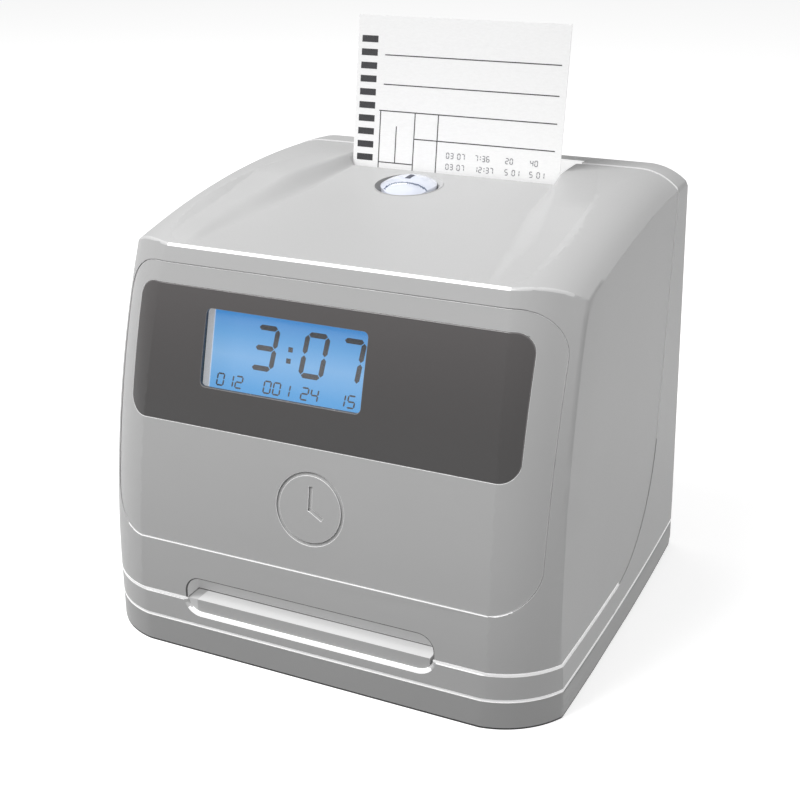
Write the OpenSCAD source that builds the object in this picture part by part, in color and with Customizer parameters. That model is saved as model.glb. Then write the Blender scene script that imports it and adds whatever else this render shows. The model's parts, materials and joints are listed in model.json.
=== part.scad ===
// Punch time clock: a desk or wall time recorder that prints on a card dropped in at the top.
// X runs to the right, Y to the back and Z up, in millimetres.
// The origin is the middle of the footprint, on the surface that the feet stand on.
// The modules below measure Y from the front face; in_frame() moves them to the origin.

/* [Case] */
// Width across the case at its front and back corners, near the floor
body_w = 184; // [176:1:196]
// Depth from the front face to the flat back
body_d = 164; // [160:1:176]
// Height of the crown of the top cover
body_h = 167.3; // [164:0.5:174]
// Wall thickness of the moulded case
wall = 3; // [2.8:0.1:3.4]
// Inward lean of each side, in degrees from upright
side_draft = 1.6; // [1.2:0.1:2.2]
// Height of the base plate that the rubber feet leave under the case
foot_gap = 1.2; // [0.8:0.1:2.5]
// Height of the parting line between the base tray and the rear housing
tray_line = 11.5; // [10:0.5:13]
// Height of the lower edge of the lift-off cover
cover_line = 22.3; // [21.5:0.1:24]
// Visible gap along each parting line
seam_gap = 0.9; // [0.5:0.1:1.2]
// Step inwards from one moulding to the next above it
ledge = 0.3; // [0.2:0.1:0.8]

/* [Case curves] */
// Radius of the front's upright curve
front_r = 374; // [365:1:400]
// Radius of the front corners
corner_r = 32.4; // [31:0.2:34]
// Radius of the path that carries each corner up and back
corner_path_r = 335; // [325:1:345]
// Direction in which the corners lean, in degrees from straight back
corner_turn = 4; // [0:1:6]
// Radius of the gentle outward bow of the sides
side_r = 2475; // [2200:25:3500]
// Radius of the top's crown, front to back
crown_r = 415; // [400:5:450]
// Radius of the rounding along the top's two sides
shoulder_r = 23.5; // [21:0.5:26]
// Rise of the flat ramp on top, in degrees
ramp_tilt = 6.16; // [5.5:0.1:6.8]
// Radius where the cover's seam turns from level to upright
seam_r = 53; // [45:1:60]
// Lean of the upright stretch of that seam, in degrees
seam_lean = 11.1; // [9:0.1:13]

/* [Front panel] */
// Height of the front panel's lower edge
panel_low = 44; // [42:1:50]
// Height of the front panel's upper edge
panel_high = 145; // [143:0.5:146]
// Half of the front panel's width
panel_half = 85.5; // [83:0.5:86]
// Corner radius of the front panel
panel_corner = 16; // [10:1:20]
// Thickness of the front panel
panel_t = 1.4; // [1.2:0.1:1.8]
// Half of the dark window's width
window_half = 76.5; // [72:0.5:79]
// Height of the dark window's lower edge
window_low = 90; // [86:1:94]
// Height of the dark window's upper edge
window_high = 138; // [136:0.5:140]
// Corner radius of the dark window
window_corner = 7; // [4:0.5:10]
// Left edge of the display opening
view_left = -46.2; // [-48:0.2:-44]
// Right edge of the display opening
view_right = 18; // [14:0.5:22]
// Lower edge of the display opening
view_low = 104.3; // [102:0.2:106]
// Upper edge of the display opening
view_high = 131.5; // [130:0.5:133]

/* [Display] */
// Width of the lit display
lcd_w = 72; // [68:1:76]
// Height of the lit display
lcd_h = 34; // [32:1:36]
// Depth of the display behind the front face
lcd_depth = 10; // [9:0.5:12]

/* [Finger notch] */
// Half of the finger notch's length
notch_half = 50.5; // [40:0.5:56]
// Height of the finger notch's floor
notch_low = 17; // [16:0.5:18]
// Height of the finger notch's upper edge
notch_high = 31; // [29:0.5:34]
// Depth of the finger notch
notch_depth = 8; // [6:0.5:9]

/* [Time card] */
// Width of the time card
card_w = 90.2; // [82:0.2:92]
// Length of the time card
card_l = 190; // [180:1:200]
// Thickness of the time card
card_t = 0.4; // [0.3:0.1:0.6]
// Length of card that shows above the slot
card_out = 59.7; // [50:1:70]
// Lean of the card, in degrees back from upright
card_lean = 7.4; // [6:0.2:8]
// Distance of the card from the back where it meets the top
card_back = 35; // [33:0.5:36]

/* [Print button] */
// Distance of the button to the left of the middle
button_left = 10.6; // [0:0.2:20]
// Distance of the button's centre in front of the card
button_front = 19; // [18:0.5:25]
// Diameter of the ring around the button
ring_d = 27.6; // [24:0.2:30]
// Travel of the button
button_travel = 1.5; // [1:0.1:2]

/* [Mechanism] */
// Distance between the outer faces of the two steel side plates
frame_w = 114; // [108:1:118]
// Thickness of the steel plates
plate_t = 1.6; // [1.2:0.1:2]
// Diameter of the card feed wheels
feed_d = 16; // [14:0.5:18]
// Diameter of the feed shaft
shaft_d = 5; // [4:0.5:6]
// Gear module, the pitch diameter for each tooth
gear_m = 1; // [0.8:0.1:1.1]
// Teeth on the feed gear
feed_teeth = 30; // [26:1:34]
// Teeth on the motor pinion
pinion_teeth = 12; // [10:1:15]
// Travel of the print head along its rods
head_travel = 40; // [30:1:44]
// Running gap round shafts and pins
fit_gap = 0.05; // [0.02:0.01:0.1]
// Free gap between pieces that move past each other
free_gap = 0.4; // [0.3:0.05:0.6]

/* [Wall mount] */
// Distance between the two keyholes on the back
keyhole_pitch = 100; // [80:1:110]
// Height of the keyholes' round entries
keyhole_z = 112; // [90:1:130]
// Radius of each keyhole's round entry
keyhole_r = 4.5; // [4:0.1:5]

/* [Hidden] */
$fn = 96;
big = 400;           // larger than the case, for cutting solids
skin = 0.02;         // overlap that joins two solids of one piece
arc_fn = 256;        // facets drawn on the long curves
arc_z = 20;          // the front is upright below this height
half_w = body_w / 2;
ref_z = 12;          // height at which body_w is measured
bow_y = 75;          // the sides bow out furthest here
brow_y = 23.5;       // the front meets the top here
corner_x = half_w - 28.7;
corner_y = corner_r - 0.7;
bow = (bow_y - corner_y / 2) ^ 2 / (2 * side_r);
crown_y = body_d - 26;
crown_flat = half_w - 21.2;
brow_z = body_h - crown_r + sqrt(crown_r ^ 2 - (crown_y - brow_y) ^ 2);
side_tan = tan(side_draft);
cover_in = 0;        // the cover's faces lie on the form itself
case_in = -ledge;    // the tray and the rear housing stand a ledge proud of it

function front_y(z) = z < arc_z ? 0 : front_r - sqrt(front_r ^ 2 - (z - arc_z) ^ 2);
function front_tilt(z) = asin((z - arc_z) / front_r);
function ramp_z(y) = brow_z + 0.3 + (y - brow_y) * tan(ramp_tilt);

card_y = body_d - card_back;        // the card meets the top this far from the front
button_y = card_y - button_front;
slot_z = ramp_z(card_y);            // height at which the card leaves the top
slot_half = card_w / 2 + 2.6;
lip_y = card_y - 2;                 // back edge of the cover's ramp
card_in = card_l - card_out;

module in_frame() translate([0, -body_d / 2, 0]) children();
module in_card() translate([0, card_y, slot_z]) rotate([-card_lean, 0, 0]) children();
module along_x(length) rotate([90, 0, 90]) linear_extrude(length, center = true) children();
module along_y(y0, y1) translate([0, y1, 0]) rotate([90, 0, 0]) linear_extrude(y1 - y0) children();
module rod_x(r, x0, x1) translate([x0, 0, 0]) rotate([0, 90, 0]) cylinder(r = r, h = x1 - x0);
module box(x0, x1, y0, y1, z0, z1) translate([x0, y0, z0]) cube([x1 - x0, y1 - y0, z1 - z0]);
module both_sides() { children(); mirror([1, 0, 0]) children(); }

module rounded_rect(x0, x1, y0, y1, r) {
    translate([x0 + r, y0]) square([x1 - x0 - 2 * r, y1 - y0]);
    translate([x0, y0 + r]) square([x1 - x0, y1 - y0 - 2 * r]);
    for (x = [x0 + r, x1 - r], y = [y0 + r, y1 - r]) translate([x, y]) circle(r);
}

// ---- The case's outer form, moved inwards by "inset" ----

// One side, as a large upright cone that bows and leans in.
module side_form(inset) {
    edge = side_r - inset;
    inner = side_r - body_w - 12;
    translate([half_w + bow - side_r, bow_y, 0]) rotate([0, 0, -3])
        rotate_extrude(angle = 6, $fn = 720)
            polygon([[inner, -5], [edge + side_tan * (ref_z + 5), -5],
                [edge - side_tan * (190 - ref_z), 190], [inner, 190]]);
}

// The same corner above arc_z, carried up and back along an arc.
module corner_form(inset) {
    r = corner_r - inset;
    out = [corner_x - corner_path_r * sin(corner_turn),
        corner_y + corner_path_r * cos(corner_turn)];
    translate([out.x, out.y, arc_z]) rotate([90, 0, corner_turn - 90])
        rotate_extrude(angle = 55, $fn = arc_fn) {
            translate([corner_path_r, 0]) circle(r);
            translate([120, -110]) square([corner_path_r + r / 2 - 120, 150]);
        }
    box(-110, corner_x - 1.2, -5, 200, arc_z, 190);
}

module crown_form(inset) {
    r = crown_r - inset;
    inner = crown_r - 165;
    translate([0, crown_y, body_h - crown_r]) rotate([0, -90, 0]) rotate([0, 0, -32])
        rotate_extrude(angle = 42, $fn = arc_fn) {
            translate([inner, -crown_flat]) square([r - inner, 2 * crown_flat]);
            translate([inner, -110]) square([crown_r - shoulder_r - inner, 220]);
            for (s = [-1, 1]) translate([crown_r - shoulder_r, s * crown_flat])
                circle(shoulder_r - inset);
        }
}

// Case above arc_z.
module upper_form(inset) {
    intersection() {
        along_x(220) intersection() {
            translate([front_r, arc_z]) circle(front_r - inset, $fn = arc_fn);
            translate([-5, arc_z]) square([body_d - inset + 5, 200]);
        }
        crown_form(inset);
        corner_form(inset);
        mirror([1, 0, 0]) corner_form(inset);
        side_form(inset);
        mirror([1, 0, 0]) side_form(inset);
    }
}

// Case below arc_z, between two heights, with its lower edge rounded.
module lower_form(inset, z0, z1, round = 0) {
    wide = half_w + bow - inset;
    intersection() {
        union() {
            both_sides() translate([corner_x, corner_y, z0]) rotate_extrude()
                intersection() {
                    foot_profile(-corner_r + inset, corner_r - inset, z1 - z0, round);
                    square([corner_r, z1 - z0]);
                }
            box(-corner_x, corner_x, -5, body_d, z0, z1);
            box(-110, 110, corner_y, body_d, z0, z1);
        }
        along_x(220) translate([0, z0]) foot_profile(inset, body_d - inset, z1 - z0, round);
        along_y(-10, 200) translate([0, z0]) foot_profile(-wide, wide, z1 - z0, round);
        side_form(inset);
        mirror([1, 0, 0]) side_form(inset);
    }
}

// A rectangle standing on z = 0 with its two lower corners rounded.
module foot_profile(x0, x1, high, round) {
    translate([x0, round]) square([x1 - x0, high - round]);
    if (round > 0) {
        translate([x0 + round, 0]) square([x1 - x0 - 2 * round, round + skin]);
        for (x = [x0 + round, x1 - round]) translate([x, round]) circle(round);
    }
}

// What the cover takes up, seen from the side; "grow" moves its edge outwards.
module cover_side(grow) {
    back = seam_start();
    mid = [back - seam_r * tan((90 - seam_lean) / 2), cover_line + seam_r];
    r = seam_r + grow;
    turn = [mid.x + r * cos(seam_lean), mid.y - r * sin(seam_lean)];
    top = 200;
    translate(mid) circle(r, $fn = arc_fn);
    polygon([[-10, cover_line - grow], [mid.x, cover_line - grow], turn,
        [turn.x + (top - turn.y) * tan(seam_lean), top], [-10, top]]);
}
function seam_start() = body_d - 43.4;

// Everything above the flat ramp, between the two shoulders.
module valley() {
    near = [58, 40, 42];            // foot of the shoulder's inner slope, and the slope's radius
    far = [47.5, 150, 8];
    run = norm(far - near);
    spread = asin((near.z - far.z) / run);
    past = 60;                      // the slope runs on past both points
    dip = 0.05;                     // its cone reaches this far below the ramp, to cut it cleanly
    translate([0, brow_y, ramp_z(brow_y)]) rotate([ramp_tilt, 0, 0]) translate([0, -brow_y, 0]) {
        both_sides() translate(near - [0, 0, dip])
            rotate([0, acos((far.z - near.z) / run), atan2(far.y - near.y, far.x - near.x)])
            translate([0, 0, -past])
            cylinder(r1 = near.z / cos(spread) + past * tan(spread),
                r2 = far.z / cos(spread) - 20 * tan(spread), h = run + past + 20);
        linear_extrude(60) polygon([[-near.x, near.y], [-near.x - 6, -30], [near.x + 6, -30],
            [near.x, near.y], [far.x, far.y], [far.x, 200], [-far.x, 200], [-far.x, far.y]]);
    }
}

// A thin curved sheet of the case's form, between two insets, seen through an outline.
module form_sheet(inset0, inset1) {
    intersection() {
        along_y(-20, 70) children();
        difference() {
            upper_form(inset0);
            upper_form(inset1);
        }
    }
}

module frame_z(z0, z1) box(-big, big, -big, big, z0, z1);

// ---- Rear housing and base tray ----

floor_z = foot_gap + wall;
tray_top = tray_line - seam_gap / 2;
band_low = tray_line + seam_gap / 2;
band_top = cover_line - seam_gap;
bottom_round = 5;
foot_r = 9;
foot_at = [half_w - 26, 24, body_d - 24];
case_screw_at = [half_w - 15, 46, body_d - 44];
boss_r = 6;                          // the tray's boss round each case screw
screw_r = 1.5;
screw_head_r = 3.4;
tongue_in = wall + free_gap;         // outer face of the tabs that the cover slips over
tongue_t = 1.4;
tongue_top = cover_line + 4;
notch_round = 6;
sill_y = 4.5;                        // depth of the notch's sill in the rear housing
sill_top = cover_line - free_gap;    // the ledge behind the sill, close under the cover's hood
hood_t = 2;                          // wall of the cover's hood over the notch
hood_half = notch_half + hood_t;
jack_at = [55, 32];
jack_r = 4.9;

module feet_at() both_sides()
    for (y = [foot_at[1], foot_at[2]]) translate([foot_at[0], y, 0]) children();
module screws_at() both_sides()
    for (y = [case_screw_at[1], case_screw_at[2]]) translate([case_screw_at[0], y, 0]) children();

module notch_outline() rounded_rect(-notch_half, notch_half, notch_low, notch_high, notch_round);

module base_tray() {
    color("silver") in_frame() difference() {
        union() {
            difference() {
                lower_form(case_in, foot_gap, tray_top, bottom_round);
                lower_form(case_in + wall, floor_z, tray_top + 5);
            }
            screws_at() translate([0, 0, floor_z - skin]) cylinder(r = boss_r, h = 3);
        }
        feet_at() translate([0, 0, -1]) cylinder(r = foot_r + 0.1, h = foot_gap + 2);
        screws_at() {
            translate([0, 0, -1]) cylinder(r = screw_r + 0.2, h = 30);
            translate([0, 0, -1]) cylinder(r = screw_head_r + 0.3, h = foot_gap + 1 + 2);
        }
        for (i = [-4:4]) translate([0, body_d / 2 + 8 * i, 0])
            box(-24, 24, -1.5, 1.5, -1, floor_z + 1);
    }
}

module rubber_feet() {
    color("dimgray") in_frame() feet_at() cylinder(r = foot_r, h = foot_gap + 1);
}

module case_screws() {
    color("gainsboro") in_frame() screws_at() difference() {
        union() {
            translate([0, 0, foot_gap + 0.4]) cylinder(r = screw_head_r, h = 1.6);
            translate([0, 0, foot_gap + 1.9]) cylinder(r = screw_r, h = 12);
        }
        for (a = [0, 90]) rotate(a) translate([-2.2, -0.4, foot_gap]) cube([4.4, 0.8, 1.2]);
    }
}

// The notch's sill: a shallow box behind the band, closed at the back.
module notch_sill() {
    difference() {
        box(-notch_half - wall, notch_half + wall, wall - 1, notch_depth + 1,
            notch_low - wall, sill_top);
        along_y(-5, sill_y) notch_outline();
    }
}

module keyhole() {
    translate([0, 0, 0]) cylinder(r = keyhole_r, h = 20, center = true);
    translate([0, 4, 0]) cube([keyhole_r, 8, 20], center = true);
    translate([0, 8, 0]) cylinder(r = keyhole_r / 2, h = 20, center = true);
}

// Sloping face behind the card, which leads the card into its slot.
module card_funnel() {
    along_x(2 * (slot_half - free_gap)) polygon([[card_y + 1.6, slot_z - 16],
        [card_y + 3.4, slot_z - 16], [card_y + 3.4, slot_z - 11.6], [body_d - 1, slot_z + 1.2],
        [body_d - 1, slot_z + 3.2], [body_d - 4.5, slot_z + 3.2], [card_y + 1.6, slot_z - 9.6]]);
}

// Where the rim's tabs stand: one beside each end of the notch and one along each side.
module tongue_places() both_sides() {
    box(hood_half + free_gap, hood_half + 9, -5, 30, 0, tongue_top);
    box(60, 110, corner_y + 6, seam_start() - 44, 0, tongue_top);
}

module rear_housing() {
    color("silver") in_frame() difference() {
        union() {
            difference() {
                union() {
                    lower_form(case_in, band_low, band_top);
                    intersection() {
                        difference() {
                            upper_form(case_in);
                            along_x(big) cover_side(seam_gap);
                        }
                        box(-110, 110, seam_start() - 60, 200, arc_z, 200);
                    }
                }
                lower_form(case_in + wall, 0, 2 * arc_z);
                upper_form(case_in + wall);
                box(-slot_half + free_gap, slot_half - free_gap, card_y, body_d - 4.5, slot_z - 8, 200);
            }
            intersection() {
                difference() {
                    union() {
                        lower_form(case_in + wall - 0.5, arc_z - 3, band_top);
                        lower_form(tongue_in, arc_z - 3, tongue_top);
                    }
                    lower_form(tongue_in + tongue_t, 0, tongue_top + 1);
                }
                tongue_places();
            }
            notch_sill();
            intersection() { card_funnel(); upper_form(case_in); }
            intersection() {
                screws_at() {
                    translate([0, 0, floor_z + 3]) cylinder(r = 4.5, h = arc_z - 3.6 - floor_z);
                    translate([0, -1.2, band_low]) cube([20, 2.4, arc_z - 0.6 - band_low]);
                }
                lower_form(case_in + 1, 0, arc_z);
            }
        }
        along_y(-5, sill_y) notch_outline();
        screws_at() translate([0, 0, -1]) cylinder(r = screw_r + fit_gap, h = foot_gap + 17);
        both_sides() translate([keyhole_pitch / 2, body_d, keyhole_z]) rotate([90, 0, 0]) keyhole();
        translate([jack_at[0], body_d, jack_at[1]]) rotate([90, 0, 0])
            cylinder(r = jack_r + 0.1, h = 20, center = true);
    }
}

module power_jack() {
    y = body_d - case_in - wall;
    color("dimgray") in_frame() translate([jack_at[0], 0, jack_at[1]]) difference() {
        union() {
            box(-6, 6, y - 13, y - 0.02, -6, 6);
            translate([0, y + wall - 0.6, 0]) rotate([90, 0, 0]) cylinder(r = jack_r, h = wall);
        }
        translate([0, y + wall, 0]) rotate([90, 0, 0]) difference() {
            cylinder(r = 3.2, h = 11);
            cylinder(r = 1, h = 11);
        }
    }
}

// ---- Card path and print mechanism, in the leaning frame of the card ----
// There X is across the card, Y is behind the card's front face and Z is up along it from the slot.

plate_in = frame_w / 2 - plate_t;    // inner face of each side plate
guide_t = 1.6;
guide_y = card_t + free_gap;         // front face of the rear card guide
feed_z = -38;                        // feed wheels and pressure rollers
feed_y = card_t + 0.3 + feed_d / 2;
press_d = 12;
press_y = -0.3 - press_d / 2;
wheel_x = 22;
wheel_w = 10;
print_z = -66;                       // the line that the head prints on
rod_d = 5;
rod_y = -22;
rod_span = 10;                       // each rod lies this far from the print line
head_x = -head_travel / 2;           // the head's middle at rest
carriage_w = 30;
head_gap = 1.8;
pulley_r = 7;
pulley_x = 42;
belt_t = 1;
belt_w = 4;
belt_y = -35;                        // front edge of the belt
belt_z = print_z - 2;                // the pulleys' axes
bar_y = -40;                         // front face of the crossbar
motor_r = 10;
pinion_reach = gear_m * (feed_teeth + pinion_teeth) / 2;
pinion_turn = 30;                    // the pinion lies this far below level, behind the feed shaft
pinion_at = [feed_y + pinion_reach * cos(pinion_turn), feed_z - pinion_reach * sin(pinion_turn)];
plate_low = -slot_z - 7;             // the side plates run on to here, below the floor
plate_foot = case_screw_at[0] - boss_r - 1.6 - plate_in;   // clear of the case screws' bosses
foot_screws = [card_y - 38, card_y - 10];
gear_x = frame_w / 2 + free_gap;
gear_w = 5;
ribbon_x = 43;

module bore_x(r, y, z) translate([-big / 2, y, z]) rotate([0, 90, 0]) cylinder(r = r, h = big);
module bore_y(r) rotate([90, 0, 0]) cylinder(r = r, h = big, center = true);

module gear(teeth, bore) {
    pitch = gear_m * teeth / 2;
    root = pitch - 1.2 * gear_m;
    tip = pitch + 0.8 * gear_m;
    difference() {
        union() {
            circle(root);
            for (i = [0:teeth - 1]) rotate(360 * i / teeth)
                polygon([[root - 0.3, -0.8 * gear_m], [pitch, -0.6 * gear_m],
                    [tip, -0.3 * gear_m], [tip, 0.3 * gear_m],
                    [pitch, 0.6 * gear_m], [root - 0.3, 0.8 * gear_m]]);
        }
        circle(bore);
    }
}

// Outline of a side plate: [behind the card, up along it].
module side_plate(side) {
    x = side > 0 ? plate_in : -plate_in - plate_t;
    foot_x = side > 0 ? plate_in : -plate_in - plate_foot;
    color("lightsteelblue") in_frame() {
        difference() {
            in_card() translate([x, 0, 0]) rotate([90, 0, 90]) linear_extrude(plate_t) difference() {
                polygon([[bar_y - 3, -94], [bar_y - 3, -46], [-32, -24], [-8, -18], [14, -18],
                    [34, -44], [34, -60], [20, -76], [20, plate_low], [-26, plate_low], [-26, -104]]);
                translate([feed_y, feed_z]) circle(shaft_d / 2 + fit_gap);
                translate([press_y, feed_z]) circle(2 + fit_gap);
                for (s = [-1, 1]) translate([rod_y, print_z + s * rod_span]) circle(rod_d / 2);
                if (side > 0) translate(pinion_at) circle(2);
                translate([-3, -120]) circle(12);
            }
            frame_z(-big, floor_z);
        }
        difference() {
            box(foot_x, foot_x + plate_foot, card_y - 45, card_y + 1, floor_z, floor_z + plate_t);
            for (y = foot_screws)
                translate([side * (plate_in + 0.64 * plate_foot), y, 0]) cylinder(r = 1.7, h = 20);
        }
    }
}
module side_plate_left() side_plate(-1);
module side_plate_right() side_plate(1);

module front_crossbar() {
    color("lightsteelblue") in_frame() in_card() {
        difference() {
            box(-plate_in, plate_in, bar_y, bar_y + plate_t, -90, -48);
            translate([-pulley_x, 0, belt_z]) bore_y(1.6);
            for (x = [-18, 0, 18]) translate([x, 0, -80]) bore_y(4);
        }
        translate([pulley_x, bar_y + plate_t - skin, belt_z]) rotate([-90, 0, 0])
            cylinder(r = 1.5, h = 9);
    }
}

// Openings in both card guides where the feed wheels press the card.
module wheel_slots() {
    half = wheel_w / 2 + 1;
    for (s = [-1, 1])
        box(s * wheel_x - half, s * wheel_x + half, -9, 9, feed_z - 8, feed_z + 8);
}

module rear_card_guide() {
    color("whitesmoke") in_frame() in_card() difference() {
        union() {
            box(-plate_in, plate_in, guide_y, guide_y + guide_t, -card_in - 6, -20);
            box(-plate_in + 4, plate_in - 4, -5, guide_y + skin, -card_in - 2.3, -card_in - 0.3);
        }
        wheel_slots();
        box(-ribbon_x - 3, ribbon_x + 3, -9, 9, print_z - 7, print_z + 7);
    }
}

module front_card_guide() {
    y1 = -free_gap - 0.4;
    color("whitesmoke") in_frame() in_card() difference() {
        union() {
            box(-plate_in, plate_in, y1 - guide_t, y1, -card_in + 6, -22);
            box(-slot_half, slot_half, y1 - guide_t - 3, y1, -24, -22);
        }
        wheel_slots();
        box(-ribbon_x - 3, ribbon_x + 3, -9, 9, print_z - 24, -50);
    }
}

module platen() {
    color("dimgray") in_frame() in_card() {
        box(-ribbon_x, ribbon_x, guide_y, guide_y + 4, print_z - 5, print_z + 5);
        box(-plate_in, plate_in, guide_y + 4 - skin, guide_y + 8, print_z - 7, print_z + 7);
    }
}

module guide_rods() {
    color("gainsboro") in_frame() in_card() for (s = [-1, 1])
        translate([0, rod_y, print_z + s * rod_span])
            rod_x(rod_d / 2 - 0.02, -plate_in - plate_t, plate_in + plate_t);
}

module feed_motor() {
    color("silver") in_frame() in_card() translate([0, pinion_at[0], pinion_at[1]]) difference() {
        rod_x(motor_r, plate_in - 28, plate_in - skin);
        rod_x(1 + fit_gap, plate_in - 14, plate_in + 1);
    }
}

module motor_pinion() {
    color("goldenrod") in_frame() in_card() translate([0, pinion_at[0], pinion_at[1]]) {
        translate([gear_x, 0, 0]) rotate([90, 0, 90]) linear_extrude(gear_w)
            rotate(180 - pinion_turn + 180 / pinion_teeth) gear(pinion_teeth, 0.5);
        rod_x(1, plate_in - 13, gear_x + gear_w);
    }
}

module feed_gear() {
    color("ivory") in_frame() in_card() translate([gear_x, feed_y, feed_z]) rotate([90, 0, 90]) {
        linear_extrude(gear_w) difference() {
            rotate(-pinion_turn) gear(feed_teeth, shaft_d / 2);
            for (a = [0:60:300]) rotate(a)
                translate([feed_teeth * gear_m * 0.28, 0]) circle(feed_teeth * gear_m * 0.08);
        }
    }
}

module feed_shaft() {
    color("gainsboro") in_frame() in_card() translate([0, feed_y, feed_z]) {
        rod_x(shaft_d / 2, -plate_in - plate_t - 2, gear_x + gear_w + 1);
        for (s = [-1, 1]) translate([s * wheel_x, 0, 0]) rod_x(feed_d / 2, -wheel_w / 2, wheel_w / 2);
    }
}

module pressure_rollers() {
    color("dimgray") in_frame() in_card() translate([0, press_y, feed_z]) {
        rod_x(2, -plate_in - plate_t - 1, plate_in + plate_t);
        for (s = [-1, 1]) translate([s * wheel_x, 0, 0]) rod_x(press_d / 2, -wheel_w / 2, wheel_w / 2);
    }
}

module carriage_motor() {
    color("silver") in_frame() in_card() translate([-pulley_x, bar_y, belt_z])
        rotate([90, 0, 0]) difference() {
            cylinder(r = 12, h = 15);
            translate([0, 0, -1]) cylinder(r = 1.5 + fit_gap, h = 9);
        }
}

module pulley() {
    difference() {
        union() {
            cylinder(r = pulley_r - fit_gap, h = belt_w + 1);
            translate([0, 0, -1]) cylinder(r = pulley_r + 1.6, h = 1);
        }
        children();
    }
}

module drive_pulley() {
    color("whitesmoke") in_frame() in_card() translate([-pulley_x, belt_y - 1, belt_z])
        rotate([-90, 0, 0]) {
            pulley();
            translate([0, 0, -11]) cylinder(r = 1.5, h = 12);
        }
}

module idler_pulley() {
    color("whitesmoke") in_frame() in_card() translate([pulley_x, belt_y - 1, belt_z])
        rotate([-90, 0, 0]) pulley()
            translate([0, 0, -5]) cylinder(r = 1.5 + fit_gap, h = 20);
}

module drive_belt() {
    color("black") in_frame() in_card() translate([0, belt_y - 0.5, belt_z]) rotate([-90, 0, 0])
        linear_extrude(belt_w) difference() {
            belt_loop(pulley_r + belt_t);
            belt_loop(pulley_r);
        }
}
module belt_loop(r) {
    square([2 * pulley_x, 2 * r], center = true);
    for (s = [-1, 1]) translate([s * pulley_x, 0]) circle(r);
}

module head_carriage() {
    z0 = print_z - rod_span;
    z1 = print_z + rod_span;
    color("slategray") in_frame() in_card() translate([head_x, 0, 0]) difference() {
        union() {
            box(-carriage_w / 2, carriage_w / 2, rod_y - 7, rod_y + 6, z0 - 6, z1 + 5);
            box(-6, 6, belt_y - 1, rod_y, belt_z + pulley_r + belt_t + free_gap, z1 + 5);
        }
        for (z = [z0, z1]) bore_x(rod_d / 2 + fit_gap, rod_y, z);
        box(-9, 9, rod_y + 1, rod_y + 9, print_z - 7, print_z + 7);
    }
}

module print_head() {
    color("dimgray") in_frame() in_card() translate([head_x, 0, 0]) {
        box(-9 + 0.05, 9 - 0.05, rod_y + 1, -6, print_z - 6.95, print_z + 6.95);
        box(-4, 4, -6 - skin, -head_gap, print_z - 3, print_z + 3);
        for (i = [-2:2]) box(i * 3 - 0.6, i * 3 + 0.6, -11, -8, print_z + 6.95 - skin, print_z + 8.5);
    }
}

module ribbon_cartridge() {
    color("black") in_frame() in_card() difference() {
        union() {
            box(-40, 40, -34, press_y - press_d / 2 - 1, -48, -26);
            box(-plate_in, plate_in, -31, -27, -34, -28);
            both_sides() {
                box(ribbon_x - 3, ribbon_x, -18, -3, print_z - 6, -44);
                box(ribbon_x - 3, ribbon_x, -3 - skin, -1.2, print_z - 6, print_z + 6);
                box(38, ribbon_x, -18, press_y - press_d / 2 - 1, -48, -44);
            }
            box(-ribbon_x, ribbon_x, -1.4, -1.2, print_z - 5, print_z + 4);
        }
        translate([26, -24, -34]) cylinder(r = 2 + fit_gap, h = 20);
    }
}

module ribbon_knob() {
    color("white") in_frame() in_card() translate([26, -24, 0]) difference() {
        union() {
            translate([0, 0, -25.6]) cylinder(r = 7, h = 7);
            translate([0, 0, -32]) cylinder(r = 2, h = 8);
        }
        for (a = [0:30:330]) rotate(a) translate([7.4, 0, -26]) cylinder(r = 1, h = 9);
    }
}

// ---- Boards and battery ----

cell_r = 7.3;
cell_h = 26;
cell_pitch = 2 * cell_r + 0.6;
cell_x = half_w - 14.6;
cell_room = case_screw_at[2] - case_screw_at[1] - 2 * (boss_r + cell_r + cell_pitch);
cell_y = case_screw_at[1] + boss_r + cell_r + 0.63 * cell_room;   // most of the room is in front

board_z = 13;
board_t = 1.6;
board = [-56, 56, card_y - 99, card_y - 59];   // left, right, front and back edges

module board_posts() for (x = [board[0] + 5, board[1] - 5], y = [board[2] + 4, board[3] - 4])
    translate([x, y, 0]) children();

module board_standoffs() {
    color("whitesmoke") in_frame() board_posts()
        translate([0, 0, floor_z]) cylinder(r = 3, h = board_z - floor_z);
}

module main_board() {
    top = board_z + board_t - skin;
    color("seagreen") in_frame() difference() {
        union() {
            box(board[0], board[1], board[2], board[3], board_z, board_z + board_t);
            translate([0, board[2], top]) {
                box(-12, 10, 12, 28, 0, 2.5);
                box(18, 30, 10, 22, 0, 2);
                for (x = [-44, -36, 40]) translate([x, 30, 0]) cylinder(r = 3, h = 9);
                for (x = [-50, 36]) box(x, x + 12, 4, 9, 0, 6);
                for (i = [0:5]) box(-30 + i * 3, -28.4 + i * 3, 6, 7.2, 0, 0.8);
                box(44, 52, 16, 26, 0, 10);
            }
        }
        board_posts() cylinder(r = 1.6, h = 30);
    }
}

module backup_battery() {
    color("green") in_frame() {
        for (i = [0:2])
            translate([-cell_x, cell_y + i * cell_pitch, floor_z]) cylinder(r = cell_r, h = cell_h);
        box(-cell_x - 2, -cell_x + 2, cell_y, cell_y + 2 * cell_pitch, floor_z + 8, floor_z + 20);
    }
}

// ---- Display ----

view_z = (view_low + view_high) / 2 - 5.5;
lcd_x = (view_left + view_right) / 2 + 2.1;   // a little right of the opening's middle
lcd_rim = 2.6;
frame_t = 5;

module in_display() translate([lcd_x, front_y(view_z) + lcd_depth, view_z])
    rotate([-front_tilt(view_z), 0, 0]) children();

module display_glass() {
    color("deepskyblue") in_frame() in_display()
        box(-lcd_w / 2, lcd_w / 2, 0, frame_t, -lcd_h / 2, lcd_h / 2);
}

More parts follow.
